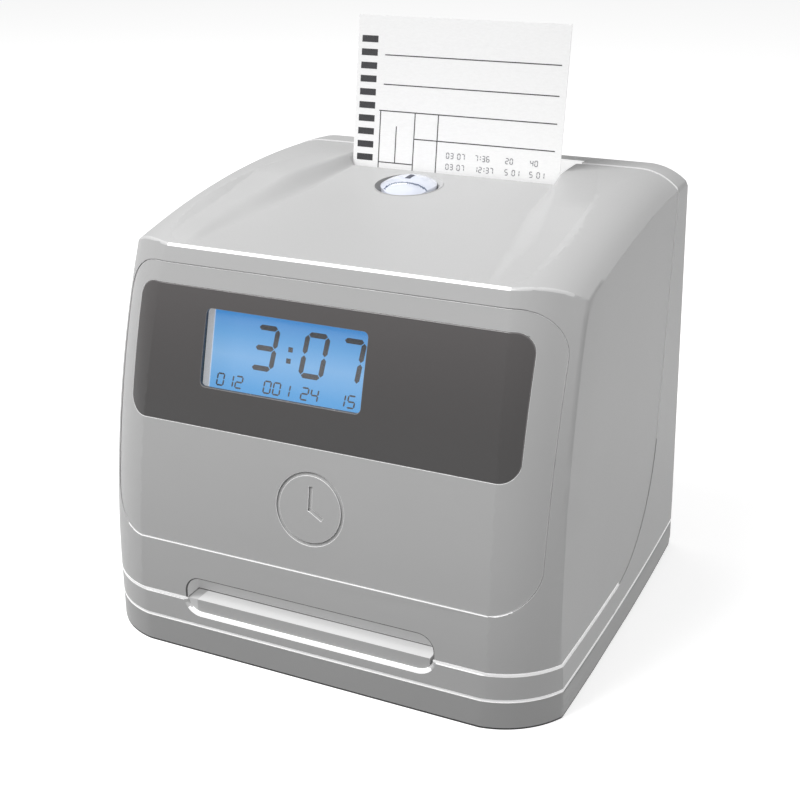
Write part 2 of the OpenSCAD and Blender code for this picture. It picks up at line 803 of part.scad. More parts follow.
module display_frame() {
    color("lightgray") in_frame() in_display() difference() {
        box(-lcd_w / 2 - lcd_rim, lcd_w / 2 + lcd_rim, -0.6, frame_t,
            -lcd_h / 2 - lcd_rim, lcd_h / 2 + lcd_rim);
        box(-lcd_w / 2 - fit_gap, lcd_w / 2 + fit_gap, -2, frame_t + 2,
            -lcd_h / 2 - fit_gap, lcd_h / 2 + fit_gap);
    }
}

module display_board() {
    color("seagreen") in_frame() in_display() {
        box(-lcd_w / 2 - 10, lcd_w / 2 + 10, frame_t, frame_t + board_t, -lcd_h / 2 - 4, lcd_h / 2 + 4);
        box(-14, 14, frame_t + board_t - skin, frame_t + board_t + 2, 0, 8);
    }
}

module display_bracket() {
    y = frame_t + board_t;
    color("lightsteelblue") in_frame() {
        in_display() {
            box(-62 - lcd_x, 62 - lcd_x, y + 2, y + 2 + plate_t, -24, -8);
            for (s = [-1, 1]) translate([s * (lcd_w / 2 + 4), y, -14]) rotate([-90, 0, 0])
                cylinder(r = 3, h = 2 + skin);
        }
        both_sides() {
            box(62 - skin, 62 + plate_t, 22, 46, floor_z, view_z - 4);
            difference() {
                box(62, 74, 22, 38, floor_z, floor_z + plate_t);
                translate([69, 30, 0]) cylinder(r = 1.7, h = 20);
            }
        }
    }
}

// ---- Cover and what it carries ----

panel_gap = 0.15;
window_gap = 0.1;
view_corner = 2;
face_in = 0.3;                       // the panel and window lie this far below the cover's face
panel_floor = face_in + panel_t + 0.05;
pane_rim = 2;
button_gap = 0.35;
ring_t = 2.3;
ring_proud = 0.2;                    // height of the ring's rim above the ramp
dish = 1.7;                          // depth of the ring's sloping dish
button_r = ring_d / 2 - ring_t - button_gap;
button_side = 0.2;                   // top of the button's upright side, above the ramp
dome_rise = 3.2;
lock_at = [body_d - 69, 60];         // distance from the front, and height
lock_x = -half_w + 1.3;              // outer face of the cover at the lock
lock_r = 9;
key_r = 6;
emblem_at = [1.3, 68];
emblem_r = 13.5;

module panel_outline() rounded_rect(-panel_half, panel_half, panel_low, panel_high, panel_corner);
module window_outline()
    rounded_rect(-window_half, window_half, window_low, window_high, window_corner);
module view_outline(grow) rounded_rect(view_left - grow, view_right + grow,
    view_low - grow, view_high + grow, view_corner + grow / 2);
module in_button()
    translate([-button_left, button_y, ramp_z(button_y)]) rotate([ramp_tilt, 0, 0]) children();
module in_lock() translate([lock_x, lock_at[0], lock_at[1]]) rotate([0, 90, 0]) children();

// A plain ring with two clock hands.
module emblem_outline() translate(emblem_at) {
    difference() { circle(emblem_r); circle(emblem_r - 1.3); }
    translate([-0.7, -0.7]) square([1.4, 9]);
    rotate(-120) translate([-0.7, -0.7]) square([1.4, 6.5]);
}

module top_cover() {
    color("silver") in_frame() difference() {
        union() {
            difference() {
                intersection() {
                    upper_form(cover_in);
                    along_x(big) cover_side(0);
                }
                intersection() {
                    upper_form(wall);
                    translate([0, 0, -wall]) below_ramp();
                }
            }
            intersection() {
                upper_form(cover_in + 1);
                union() {
                    notch_hood();
                    in_lock() cylinder(r = 13, h = 6);
                    in_button() both_sides() translate([17, 0, -15]) cylinder(r = 2.5, h = 14);
                }
            }
        }
        valley();
        box(-slot_half, slot_half, lip_y, big, 60, 200);
        difference() {
            along_y(-20, 70) offset_panel();
            upper_form(panel_floor);
        }
        along_y(-20, 70) view_outline(pane_rim);
        along_y(-5, notch_depth) notch_outline();
        in_button() translate([0, 0, -20]) cylinder(r = ring_d / 2 + 0.05, h = 40);
        in_button() translate([0, 0, -20]) cylinder(r = ring_d / 2 + 2, h = 20 - wall);
        in_lock() translate([0, 0, -10]) cylinder(r = lock_r + 0.1, h = 30);
        in_lock() translate([0, 0, -10]) cylinder(r = lock_r + 2.4, h = 10.4);
    }
}
module offset_panel() rounded_rect(-panel_half - panel_gap, panel_half + panel_gap,
    panel_low - panel_gap, panel_high + panel_gap, panel_corner + panel_gap);

module below_ramp() translate([0, 0, ramp_z(0)]) rotate([ramp_tilt, 0, 0])
    box(-110, 110, -20, 220, -220, 0);

module notch_hood() {
    difference() {
        box(-hood_half, hood_half, 2, notch_depth + hood_t, cover_line, notch_high + hood_t);
        along_y(-5, notch_depth) notch_outline();
    }
}

module front_panel() {
    color("silver") in_frame() difference() {
        form_sheet(face_in, face_in + panel_t) panel_outline();
        along_y(-20, 70) rounded_rect(-window_half - window_gap, window_half + window_gap,
            window_low - window_gap, window_high + window_gap, window_corner);
        difference() {
            along_y(-20, 70) emblem_outline();
            upper_form(face_in + 0.6);
        }
    }
}

module dark_window() {
    color("dimgray") in_frame() difference() {
        form_sheet(face_in, face_in + panel_t) window_outline();
        along_y(-20, 70) view_outline(0);
    }
}

module clear_window() {
    color("azure", 0.4) in_frame() form_sheet(panel_floor, panel_floor + 1) view_outline(pane_rim - 0.1);
}

module button_ring() {
    color("gainsboro") in_frame() in_button() difference() {
        union() {
            translate([0, 0, -wall - 0.1]) cylinder(r = ring_d / 2, h = wall + 0.1 + ring_proud);
            translate([0, 0, -wall - 1.3]) cylinder(r = ring_d / 2 + 1.8, h = 1.25);
        }
        translate([0, 0, -20]) cylinder(r = ring_d / 2 - ring_t, h = 40);
        translate([0, 0, ring_proud - dish]) cylinder(r1 = ring_d / 2 - ring_t - skin,
            r2 = ring_d / 2 - 0.3, h = dish + skin);
    }
}

module print_button() {
    dome_r = (button_r ^ 2 + dome_rise ^ 2) / (2 * dome_rise);
    color("aliceblue") in_frame() in_button() {
        intersection() {
            translate([0, 0, button_side + dome_rise - dome_r]) sphere(dome_r);
            translate([0, 0, -wall]) cylinder(r = button_r, h = 10);
        }
        translate([0, 0, -wall - 3.2]) cylinder(r = button_r + 1.2, h = 1.4);
        translate([0, 0, -wall - 2]) cylinder(r = button_r - 1, h = 2.1);
        translate([0, 0, -wall - 6.5]) cylinder(r = 2, h = 4);
    }
}

module button_board() {
    color("seagreen") in_frame() in_button() {
        box(-21, 21, -7, 7, -16.6, -15);
        box(-3, 3, -3, 3, -15 - skin, -wall - 6.5 - button_travel - free_gap);
    }
}

module lock_barrel() {
    color("gainsboro") in_frame() in_lock() difference() {
        union() {
            translate([0, 0, -0.9]) cylinder(r = lock_r + 2.2, h = 1.25);
            cylinder(r = lock_r, h = 17);
            translate([0, 0, 6.05]) cylinder(r = lock_r + 3, h = 3, $fn = 6);
        }
        translate([0, 0, -5]) cylinder(r = key_r + fit_gap, h = 40);
    }
}

module key_cylinder() {
    color("darkgray") in_frame() in_lock() difference() {
        translate([0, 0, -0.6]) cylinder(r = key_r, h = 18.4);
        translate([-3.5, -0.6, -2]) cube([7, 1.2, 4.5]);
    }
}

module lock_cam() {
    color("gainsboro") in_frame() in_lock() translate([0, 0, 17.8]) {
        cylinder(r = key_r, h = 2);
        translate([0, -4, 0]) cube([18, 8, 2]);
        translate([0, 0, 2 - skin]) cylinder(r = 2.5, h = 1.6);
    }
}

module lock_strike() {
    x = -plate_in - plate_t;
    color("lightsteelblue") in_frame() {
        box(lock_x + 17.6, x, lock_at[0] + 7, lock_at[0] + 18, lock_at[1] + 4.8, lock_at[1] + 6.4);
        box(x - 1.6, x, lock_at[0] + 7, lock_at[0] + 18, lock_at[1] + 4.8, lock_at[1] + 18);
    }
}

module time_card() {
    color("white") in_frame() in_card() box(-card_w / 2, card_w / 2, 0, card_t, -card_in, card_out);
}

base_tray();
rear_housing();
rubber_feet();
case_screws();
power_jack();
side_plate_left();
side_plate_right();
front_crossbar();
rear_card_guide();
front_card_guide();
platen();
guide_rods();
feed_motor();
carriage_motor();
motor_pinion();
feed_shaft();
feed_gear();
pressure_rollers();
drive_pulley();
idler_pulley();
drive_belt();
head_carriage();
print_head();
ribbon_cartridge();
ribbon_knob();
main_board();
board_standoffs();
backup_battery();
lock_strike();
display_bracket();
display_board();
display_frame();
display_glass();
top_cover();
front_panel();
dark_window();
clear_window();
button_ring();
button_board();
print_button();
lock_barrel();
key_cylinder();
lock_cam();
time_card();
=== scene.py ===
"""Looks of the punch time clock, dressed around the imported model. Metres, in the model's own frame."""

from collections import namedtuple
import json
import math

import bmesh
import bpy
from mathutils import Matrix, Vector
from mathutils.bvhtree import BVHTree


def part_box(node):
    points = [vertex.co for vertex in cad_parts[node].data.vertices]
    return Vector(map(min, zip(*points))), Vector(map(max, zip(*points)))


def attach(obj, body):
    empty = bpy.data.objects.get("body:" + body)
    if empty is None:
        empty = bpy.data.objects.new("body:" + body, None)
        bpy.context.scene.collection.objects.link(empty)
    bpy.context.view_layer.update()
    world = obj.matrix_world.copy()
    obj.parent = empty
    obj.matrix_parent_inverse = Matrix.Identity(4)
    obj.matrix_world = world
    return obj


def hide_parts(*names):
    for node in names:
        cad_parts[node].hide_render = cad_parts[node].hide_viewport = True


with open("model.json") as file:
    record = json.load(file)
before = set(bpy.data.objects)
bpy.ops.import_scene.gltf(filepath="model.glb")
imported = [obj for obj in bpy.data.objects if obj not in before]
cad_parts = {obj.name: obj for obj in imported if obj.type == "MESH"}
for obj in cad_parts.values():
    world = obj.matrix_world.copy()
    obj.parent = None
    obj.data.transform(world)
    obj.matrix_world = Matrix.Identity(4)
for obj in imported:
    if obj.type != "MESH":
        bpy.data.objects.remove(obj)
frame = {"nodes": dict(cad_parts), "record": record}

MM = 0.001
NODES = frame["nodes"]
BODY_OF = {n: b for b, names in frame["record"]["behaviour"]["bodies"].items() for n in names}
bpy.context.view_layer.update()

# ---- Camera and image points

PHOTO_W = 800
PHOTO_H = 800
PHOTO_LONGER = max(PHOTO_W, PHOTO_H)
CAMERA_AT = Vector((0.21325, -0.45062, 0.27609))
CAMERA_TURN = 25.437  # degrees to the left of straight back
CAMERA_DIP = 21.344  # degrees below level
LENS = 60.903
SENSOR = 36.0
SEARCH_FROM = 0.3  # where a ray that meets nothing looks for the nearest surface, in metres
SEARCH_STEP = 0.002
SEARCH_STEPS = 200

POINTS = {
    "object_left": (119, 500),
    "object_right": (688, 190),
    "object_top": (362, 14),
    "object_bottom": (545, 730),
    "brow_left": (167, 245),
    "brow_right": (512, 287.5),
    "window_top_left": (147, 282.5),
    "window_bottom_right": (516, 478),
    "view_top_left": (208, 309.5),
    "view_bottom_right": (359, 413),
    "card_top_left": (360.2, 14.6),
    "card_top_right": (571.8, 23.7),
    "first_bar": (370.5, 38.6),
    "last_bar": (364.6, 156.5),
    "first_rule": (473, 60),
    "digit_colon": (289.5, 355.5),
    "button_mark": (410, 176.5),
    "button_centre": (409, 183),
    "notch_left": (186.5, 586.5),
    "notch_right": (434, 659.5),
}


def link(o):
    bpy.context.scene.collection.objects.link(o)


def make_camera():
    camera = bpy.data.objects.new("camera", bpy.data.cameras.new("camera"))
    camera.data.lens = LENS
    camera.data.sensor_width = SENSOR
    camera.data.sensor_fit = "AUTO"
    camera.data.clip_start = 0.01
    camera.location = CAMERA_AT
    camera.rotation_euler = (math.radians(90 - CAMERA_DIP), 0, math.radians(CAMERA_TURN))
    link(camera)
    bpy.context.scene.camera = camera
    bpy.context.view_layer.update()
    return camera


camera = make_camera()


def tree_of(objects):
    """One search tree over the finished meshes of these objects."""
    vertices, faces = [], []
    for o in objects:
        start = len(vertices)
        vertices += [o.matrix_world @ v.co for v in o.data.vertices]
        faces += [[start + i for i in p.vertices] for p in o.data.polygons]
    return BVHTree.FromPolygons(vertices, faces)


def on_surface(point, tree):
    """Where the ray through an image point meets a tree, or the nearest place to it."""
    data = camera.data
    ray = Vector((point[0] - PHOTO_W / 2 + data.shift_x * PHOTO_LONGER,
                  PHOTO_H / 2 - point[1] + data.shift_y * PHOTO_LONGER,
                  -PHOTO_LONGER * data.lens / data.sensor_width))
    start = camera.matrix_world.translation
    ray = (camera.matrix_world.to_3x3() @ ray).normalized()
    place = tree.ray_cast(start, ray)[0]
    if place is None:
        steps = [start + ray * (SEARCH_FROM + SEARCH_STEP * i) for i in range(SEARCH_STEPS)]
        place = min((tree.find_nearest(p) for p in steps), key=lambda hit: hit[3])[0]
    return place


def in_image(place):
    """Image x and y of a place."""
    p = camera.matrix_world.inverted() @ Vector(place)
    scale = PHOTO_LONGER * camera.data.lens / camera.data.sensor_width / -p.z
    return (PHOTO_W / 2 + p.x * scale, PHOTO_H / 2 - p.y * scale)


# ---- Plates: the leaning card and the display

Plate = namedtuple("Plate", "centre right up normal wide high")


def frame_of(node):
    """The front of a thin CAD plate: right is along X, and normal faces forward."""
    o = NODES[node]
    front = max(o.data.polygons, key=lambda p: p.area * (1 if p.normal.y < -0.5 else 0))
    normal = front.normal.copy()
    right = Vector((1, 0, 0))
    up = right.cross(normal).normalized() * -1
    if up.z < 0:
        up = -up
    corners = [v.co for v in o.data.vertices]
    depth = max(v.dot(normal) for v in corners)
    low = [min(v.dot(d) for v in corners) for d in (right, up)]
    high = [max(v.dot(d) for v in corners) for d in (right, up)]
    centre = right * (low[0] + high[0]) / 2 + up * (low[1] + high[1]) / 2 + normal * depth
    return Plate(centre, right, up, normal, high[0] - low[0], high[1] - low[1])


# ---- Materials

def srgb(r, g, b):
    """A colour as seen on the screen, as the linear colour that a shader takes."""
    linear = [c / 12.92 if c <= 0.04045 else ((c + 0.055) / 1.055) ** 2.4 for c in (r, g, b)]
    return (*linear, 1.0)


def set_inputs(node, values):
    """Gives a node's inputs their values. A socket, or a node by its first output, is linked."""
    for name, value in values.items():
        if isinstance(value, bpy.types.Node):
            value = value.outputs[0]
        if isinstance(value, bpy.types.NodeSocket):
            node.id_data.links.new(value, node.inputs[name])
        else:
            node.inputs[name].default_value = value


def add_node(tree, kind, values=None):
    node = tree.nodes.new("ShaderNode" + kind)
    set_inputs(node, values or {})
    return node


def noise(tree, scale, detail=3.0, rough=0.5, stretch=(1, 1, 1)):
    """Noise in the object's own metres."""
    place = add_node(tree, "TexCoord").outputs["Object"]
    place = add_node(tree, "Mapping", {"Vector": place, "Scale": stretch})
    values = {"Vector": place, "Scale": scale, "Detail": detail, "Roughness": rough}
    return add_node(tree, "TexNoise", values)


def spread(value, low, high, start=0.3, end=0.7):
    """Runs from low to high while value runs from start to end."""
    values = {"Value": value, "From Min": start, "From Max": end, "To Min": low, "To Max": high}
    return add_node(value.id_data, "MapRange", values)


def height_share(tree, low, high):
    """Runs from 0 to 1 between two heights in the object's own metres."""
    place = add_node(tree, "TexCoord").outputs["Object"]
    split = add_node(tree, "SeparateXYZ", {"Vector": place})
    return spread(split.outputs["Z"], 0, 1, low, high)


def colour_ramp(value, stops):
    """A colour led by a value; stops holds (value, linear colour)."""
    ramp = add_node(value.id_data, "ValToRGB", {"Fac": value})
    elements = ramp.color_ramp.elements
    for element, (position, colour) in zip(elements, (stops[0], stops[-1])):
        element.position, element.color = position, colour
    for position, colour in stops[1:-1]:
        elements.new(position).color = colour
    return ramp


def two_tone(value, dark, light, start=0.3, end=0.7):
    return colour_ramp(value, [(start, dark), (end, light)])


def bump(value, height, strength):
    return add_node(value.id_data, "Bump", {"Height": value, "Distance": height, "Strength": strength})


def dressing(inputs_of):
    """Turns a function that gives a shader's inputs for a tree into one that makes a named material."""
    def make(name, *values, **named):
        material = bpy.data.materials.new(name)
        material.use_nodes = True
        tree = material.node_tree
        set_inputs(tree.nodes["Principled BSDF"], inputs_of(tree, *values, **named))
        return material
    return make


@dressing
def moulded(tree, colour, rough=0.45, vary=0.02, grain=1400, height=0.00002, coat=0.0, specular=0.5,
            glow=0.0):
    """Moulded plastic: slight tone changes, a fine spark-eroded grain and uneven gloss. A glow on it is
    painted light.
    """
    dark = srgb(*(max(c - vary, 0) for c in colour))
    light = srgb(*(min(c + vary, 1) for c in colour))
    fine = noise(tree, grain, 2)
    return {"Base Color": two_tone(noise(tree, 9, 4), dark, light),
            "Roughness": spread(fine, rough - 0.05, rough + 0.05),
            "Normal": bump(fine, height, 0.6),
            "Coat Weight": coat, "Coat Roughness": 0.08, "Specular IOR Level": specular,
            "Emission Color": light, "Emission Strength": glow}


@dressing
def metal(tree, colour, rough=0.3, along=(1, 1, 60), grain=160):
    """Rolled or turned metal, with fine lines along one direction."""
    lines = noise(tree, grain, 4, 0.6, along)
    return {"Base Color": two_tone(lines, srgb(*(c * 0.9 for c in colour)), srgb(*colour)),
            "Roughness": spread(lines, rough - 0.07, rough + 0.1),
            "Normal": bump(lines, 0.000015, 0.5), "Metallic": 1.0}


@dressing
def board(tree):
    """Green solder mask over a faint pattern of tracks."""
    place = add_node(tree, "TexCoord").outputs["Object"]
    tracks = add_node(tree, "TexVoronoi", {"Vector": place, "Scale": 260})
    tracks.distance = "MANHATTAN"
    return {"Base Color": two_tone(tracks, srgb(0.05, 0.34, 0.2), srgb(0.03, 0.24, 0.13), 0.42, 0.5),
            "Normal": bump(tracks, 0.00003, 0.5), "Roughness": 0.32, "Coat Weight": 0.3}


@dressing
def smoked(tree):
    """Smoked window insert: dark, glossy, a little lighter towards the top."""
    low, high = (c.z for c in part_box("dark_window"))
    dark, light = srgb(0.31, 0.305, 0.305), srgb(0.375, 0.365, 0.365)
    fine = noise(tree, 900, 2)
    return {"Base Color": two_tone(height_share(tree, low, high), dark, light, 0, 1),
            "Roughness": spread(fine, 0.3, 0.38),
            "Normal": bump(fine, 0.000004, 0.4), "Specular IOR Level": 0.4}


@dressing
def clear(tree):
    """Clear pane, almost unseen but for its gloss."""
    return {"Base Color": srgb(0.95, 0.97, 1.0), "Alpha": 0.04, "Specular IOR Level": 0.3,
            "Roughness": spread(noise(tree, 700, 2), 0.02, 0.05)}


@dressing
def backlight(tree):
    """Blue backlit display: brighter in a band across its middle."""
    low, high = (c.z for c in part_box("display_glass"))
    stops = [(0.0, srgb(0.33, 0.62, 0.86)), (0.25, srgb(0.37, 0.65, 0.88)), (0.55, srgb(0.5, 0.71, 0.9)),
             (0.78, srgb(0.36, 0.63, 0.86)), (1.0, srgb(0.27, 0.55, 0.82))]
    return {"Emission Color": colour_ramp(height_share(tree, low, high), stops),
            "Emission Strength": 0.93, "Base Color": srgb(0.08, 0.16, 0.25), "Roughness": 0.35}


@dressing
def card_stock(tree):
    """Matt card with a faint fibre, and a faint glow of painted light."""
    fibre = noise(tree, 500, 6, 0.7, (1, 1, 3))
    paper = two_tone(fibre, srgb(*grey(0.94)), srgb(*grey(0.965)))
    return {"Base Color": paper, "Emission Color": paper, "Emission Strength": 0.09,
            "Normal": bump(fibre, 0.00002, 0.5), "Roughness": 0.85, "Specular IOR Level": 0.2}


@dressing
def ink(tree, colour):
    """Printed ink, slightly uneven."""
    light = srgb(*(min(c + 0.06, 1) for c in colour))
    return {"Base Color": two_tone(noise(tree, 1500, 4), srgb(*colour), light), "Roughness": 0.7}


@dressing
def lit_cap(tree):
    """Translucent button cap."""
    broad = noise(tree, 120, 2)
    return {"Base Color": two_tone(broad, srgb(0.82, 0.84, 0.89), srgb(0.86, 0.875, 0.92)),
            "Roughness": spread(broad, 0.12, 0.18), "Coat Weight": 0.5}


def grey(tone):
    return (tone, tone, tone)


# moulded: name, colour, roughness, change of tone, grain, its height in metres, coat and specular; a glow
# is painted light
# metal: name, colour, roughness, stretch of its lines and grain
LOOK = {
    "case": moulded("case_plastic", grey(0.745), 0.46, 0.008, 1700, 0.000012),
    "tray": moulded("tray_plastic", grey(0.66), 0.46, 0.008, 1700, 0.000012),
    "panel": moulded("panel_plastic", grey(0.74), 0.42, 0.008, 1700, 0.00001),
    "smoked": smoked("smoked_window"),
    "clear": clear("clear_pane"),
    "steel": metal("plated_sheet", (0.72, 0.73, 0.74), 0.34),
    "bright": metal("ground_rod", (0.8, 0.8, 0.81), 0.2, (60, 1, 1)),
    "can": metal("motor_can", (0.7, 0.7, 0.71), 0.3, (30, 1, 1)),
    "brass": metal("brass_pinion", (0.83, 0.66, 0.36), 0.28, (1, 1, 1), 600),
    "acetal": moulded("white_acetal", (0.88, 0.88, 0.86), 0.38, 0.01, 1600, 0.00001),
    "black": moulded("black_moulding", (0.09, 0.09, 0.095), 0.5, 0.012, 1600, 0.00002),
    "dark_metal": metal("dark_head", (0.3, 0.3, 0.31), 0.42, (1, 30, 1)),
    "rubber": moulded("moulded_rubber", (0.1, 0.1, 0.105), 0.75, 0.012, 2600, 0.00004, 0.0, 0.3),
    "board": board("solder_mask"),
    "cell": moulded("cell_sleeve", (0.16, 0.5, 0.3), 0.3, 0.02, 300, 0.00002, 0.4),
    "lcd": backlight("lcd_backlight"),
    # painted light: the display's surround glows, standing in for the backlight's spill and lifting it out
    # of the window's shadow
    "bezel": moulded("lcd_bezel", grey(0.85), 0.4, 0.01, 1600, 0.00001, glow=0.45),
    "cap": lit_cap("lit_cap"),
    "card": card_stock("card_stock"),
    "card_ink": ink("card_ink", (0.22, 0.22, 0.23)),
    "stamp_ink": ink("stamp_ink", (0.47, 0.47, 0.49)),
    "segment": ink("lcd_segment", (0.3, 0.29, 0.29)),
    # painted highlight: rounded edges, lighter than the case and glowing
    "edge": moulded("rounded_edge", grey(0.93), 0.28, 0.006, 1700, 0.000004, glow=0.2),
    # painted highlight: the brow's white line
    "brow_edge": moulded("brow_edge", grey(0.97), 0.2, 0.006, 1700, 0.000002, glow=0.55),
    # painted highlight, faint: the brow's ends over the shoulders, and the notch's rim just above its lip
    "crease": moulded("shoulder_crease", grey(0.8), 0.3, 0.006, 1700, 0.000004, glow=0.06),
    # painted highlight: the finger notch's white lip
    "lip": moulded("lip_edge", grey(0.96), 0.25, 0.006, 1700, 0.000004, glow=0.5),
    "shade": moulded("shaded_edge", grey(0.28), 0.5, 0.01),
    # painted light: the notch's recess glows
    "recess": moulded("lit_recess", grey(0.745), 0.5, 0.008, glow=0.26),
    # painted light: the face behind the card glows white
    "funnel": moulded("funnel_face", grey(0.94), 0.5, 0.008, glow=0.5),
    # painted light: a case-toned glow that fills seam gaps which would show dark
    "soft_seam": moulded("soft_seam", grey(0.745), 0.46, 0.008, glow=0.08),
    # painted light: the notch ledge's top glows strongly
    "ledge_top": moulded("ledge_top", grey(0.62), 0.5, 0.01, glow=1.3),
    "cap_shade": moulded("cap_shade", (0.36, 0.41, 0.5), 0.3, 0.01, 600, 0.000002),
    # painted highlight: a lighter line on the dark window's edges
    "smoked_edge": moulded("smoked_edge", (0.5, 0.49, 0.49), 0.28, 0.01, 1700, 0.000004),
    # painted highlight: pale glowing strips in the level seams
    "seam_light": moulded("seam_light", grey(0.9), 0.4, 0.01, glow=0.36),
    # painted light: the housing's front face glows
    "step": moulded("housing_front", grey(0.8), 0.46, 0.008, glow=0.3),
    "dish": moulded("dish_shade", grey(0.5), 0.5, 0.01),
    "mark": ink("button_mark", (0.3, 0.31, 0.36)),
}
FINISH = {
    "case": ["rear_housing", "top_cover", "button_ring"],
    "tray": ["base_tray"],
    "panel": ["front_panel"],
    "smoked": ["dark_window"],
    "clear": ["clear_window"],
    "steel": ["side_plate_left", "side_plate_right", "front_crossbar", "lock_strike", "display_bracket"],
    "bright": ["case_screws", "guide_rods", "feed_shaft", "lock_barrel", "key_cylinder", "lock_cam"],
    "can": ["feed_motor", "carriage_motor"],
    "brass": ["motor_pinion"],
    "acetal": ["rear_card_guide", "front_card_guide", "feed_gear", "drive_pulley", "idler_pulley",
               "ribbon_knob", "board_standoffs"],
    "black": ["power_jack", "head_carriage", "ribbon_cartridge"],
    "dark_metal": ["print_head"],
    "rubber": ["rubber_feet", "platen", "pressure_rollers", "drive_belt"],
    "board": ["main_board", "display_board", "button_board"],
    "cell": ["backup_battery"],
    "lcd": ["display_glass"],
    "bezel": ["display_frame"],
    "cap": ["print_button"],
    "card": ["time_card"],
}

for look, names in FINISH.items():
    for name in names:
        NODES[name].data.materials.clear()
        NODES[name].data.materials.append(LOOK[look])


# ---- Pieces

# angles in degrees
SHARP = 20  # an edge that turns by more than this can be rounded or get a seam
FLAT = 0.02  # faces that turn by less than this become one
SMOOTH_COPY = 12  # a copied CAD node shades smoothly over edges that turn by less than this,
SMOOTH_MADE = 30  # a piece made here by less than this,
SMOOTH_CAP = 40  # and the button by less than this
WELD = 0.000002  # vertices this close are one, in metres
FACE_WEIGHT = 90  # how far large faces lead the normals, out of 100


def add_piece(name, mesh, looks, indices, body):
    """A piece and its looks: indices gives each face's, 0 for the piece's own."""
    o = bpy.data.objects.new(name, mesh)
    link(o)
    for look in looks:
        mesh.materials.append(LOOK[look])
    mesh.polygons.foreach_set("material_index", indices)
    mesh.update()
    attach(o, body)
    return o


def mesh_from(bm, name, smooth_angle=None):
    """The finished mesh of a bmesh, which is freed."""
    mesh = bpy.data.meshes.new(name)
    bm.normal_update()
    bm.to_mesh(mesh)
    bm.free()
    if smooth_angle:
        mesh.shade_smooth()
        mesh.set_sharp_from_angle(angle=math.radians(smooth_angle))
    return mesh


def with_weighted_normals(mesh, name):
    """The same mesh with normals led by its large faces, so that small roundings don't shade them."""
    o = bpy.data.objects.new(name, mesh)
    link(o)
    modifier = o.modifiers.new("normals", "WEIGHTED_NORMAL")
    modifier.keep_sharp = True
    modifier.weight = FACE_WEIGHT
    graph = bpy.context.evaluated_depsgraph_get()
    finished = bpy.data.meshes.new_from_object(o.evaluated_get(graph))
    finished.name = name
    bpy.data.objects.remove(o)
    bpy.data.meshes.remove(mesh)
    return finished


def made_piece(bm, name, look, body, smooth_angle=None, looks=()):
    """A piece from a bmesh; faces of material index 1 and up wear the further looks."""
    bmesh.ops.recalc_face_normals(bm, faces=bm.faces)
    indices = [f.material_index for f in bm.faces]
    return add_piece(name, mesh_from(bm, name, smooth_angle), [look, *looks], indices, body)


def loft(bm, rings, closed=False):
    """The side faces through a row of rings of vertices. Unless it is closed, both ends are capped."""
    sides = []
    for r, q in zip(rings, rings[1:] + (rings[:1] if closed else [])):
        for k in range(len(r)):
            j = (k + 1) % len(r)
            sides.append(bm.faces.new([r[k], r[j], q[j], q[k]]))
    if not closed:
        bm.faces.new(rings[0][::-1])
        bm.faces.new(rings[-1])
    return sides


def edge_faces(bm):
    """Sharp outer edges of a mesh as (edge, middle in mm, normal, normal)."""
    for e in bm.edges:
        if len(e.link_faces) == 2 and e.calc_face_angle(0) > math.radians(SHARP) and e.is_convex:
            middle = (e.verts[0].co + e.verts[1].co) / 2 / MM
            yield e, middle, e.link_faces[0].normal, e.link_faces[1].normal


def welded(node):
    """A CAD node's mesh with its vertices joined and its flat faces whole."""
    bm = bmesh.new()
    bm.from_mesh(NODES[node].data)
    bmesh.ops.remove_doubles(bm, verts=bm.verts, dist=WELD)
    bmesh.ops.dissolve_limit(bm, angle_limit=math.radians(FLAT), verts=bm.verts, edges=bm.edges)
    bm.normal_update()
    return bm


def softened(node, chains, recoloured=()):
    """A copy of a CAD node with chains of its sharp edges rounded, in place of the node.

    A chain is (width in mm, segments, test of an edge's middle and its two normals, look). Its look is
    a name, or a function from a face's middle to a name. recoloured holds (look, test of a face's
    middle and normal).
    """
    bm = welded(node)
    looks = []

    def index_of(name):
        if name not in looks:
            looks.append(name)
        return looks.index(name) + 1

    for width, segments, test, edge_look in chains:
        edges = [e for e, m, n1, n2 in edge_faces(bm)
                 if test(m, n1, n2) and all(f.material_index == 0 for f in e.link_faces)]
        if not edges:
            continue
        made = bmesh.ops.bevel(bm, geom=edges, offset=width * MM, offset_type="OFFSET", segments=segments,
                               profile=0.5, affect="EDGES", clamp_overlap=False)["faces"]
        bm.normal_update()
        for f in made:
            name = edge_look(f.calc_center_median() / MM) if callable(edge_look) else edge_look
            f.material_index = index_of(name)
    for name, test in recoloured:
        for f in bm.faces:
            if f.material_index == 0 and test(f.calc_center_median() / MM, f.normal):
                f.material_index = index_of(name)
    indices = [f.material_index for f in bm.faces]
    name = node + "_finished"
    mesh = with_weighted_normals(mesh_from(bm, name, SMOOTH_COPY), name)
    own = next(k for k, names in FINISH.items() if node in names)
    o = add_piece(name, mesh, [own, *looks], indices, BODY_OF[node])
    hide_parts(node)
    return o


def chains_of(edges):
    """Edges joined into runs of (place, away, out): a vertex and its two directions off the edge."""
    at = {}
    for e, away, out in edges:
        for v in e.verts:
            at.setdefault(v, []).append((e, away, out))
    used, runs = set(), []
    starts = [v for v in at if len(at[v]) == 1] + list(at)
    for v in starts:
        if all(e in used for e, _, _ in at[v]):
            continue
        run = [v]
        while True:
            step = [e for e, _, _ in at[run[-1]] if e not in used]
            if not step:
                break
            used.add(step[0])
            run.append(step[0].other_vert(run[-1]))
        runs.append([(w.co.copy(), sum((away for _, away, _ in at[w]), Vector()).normalized(),
                      sum((out for _, _, out in at[w]), Vector()).normalized()) for w in run])
    return runs


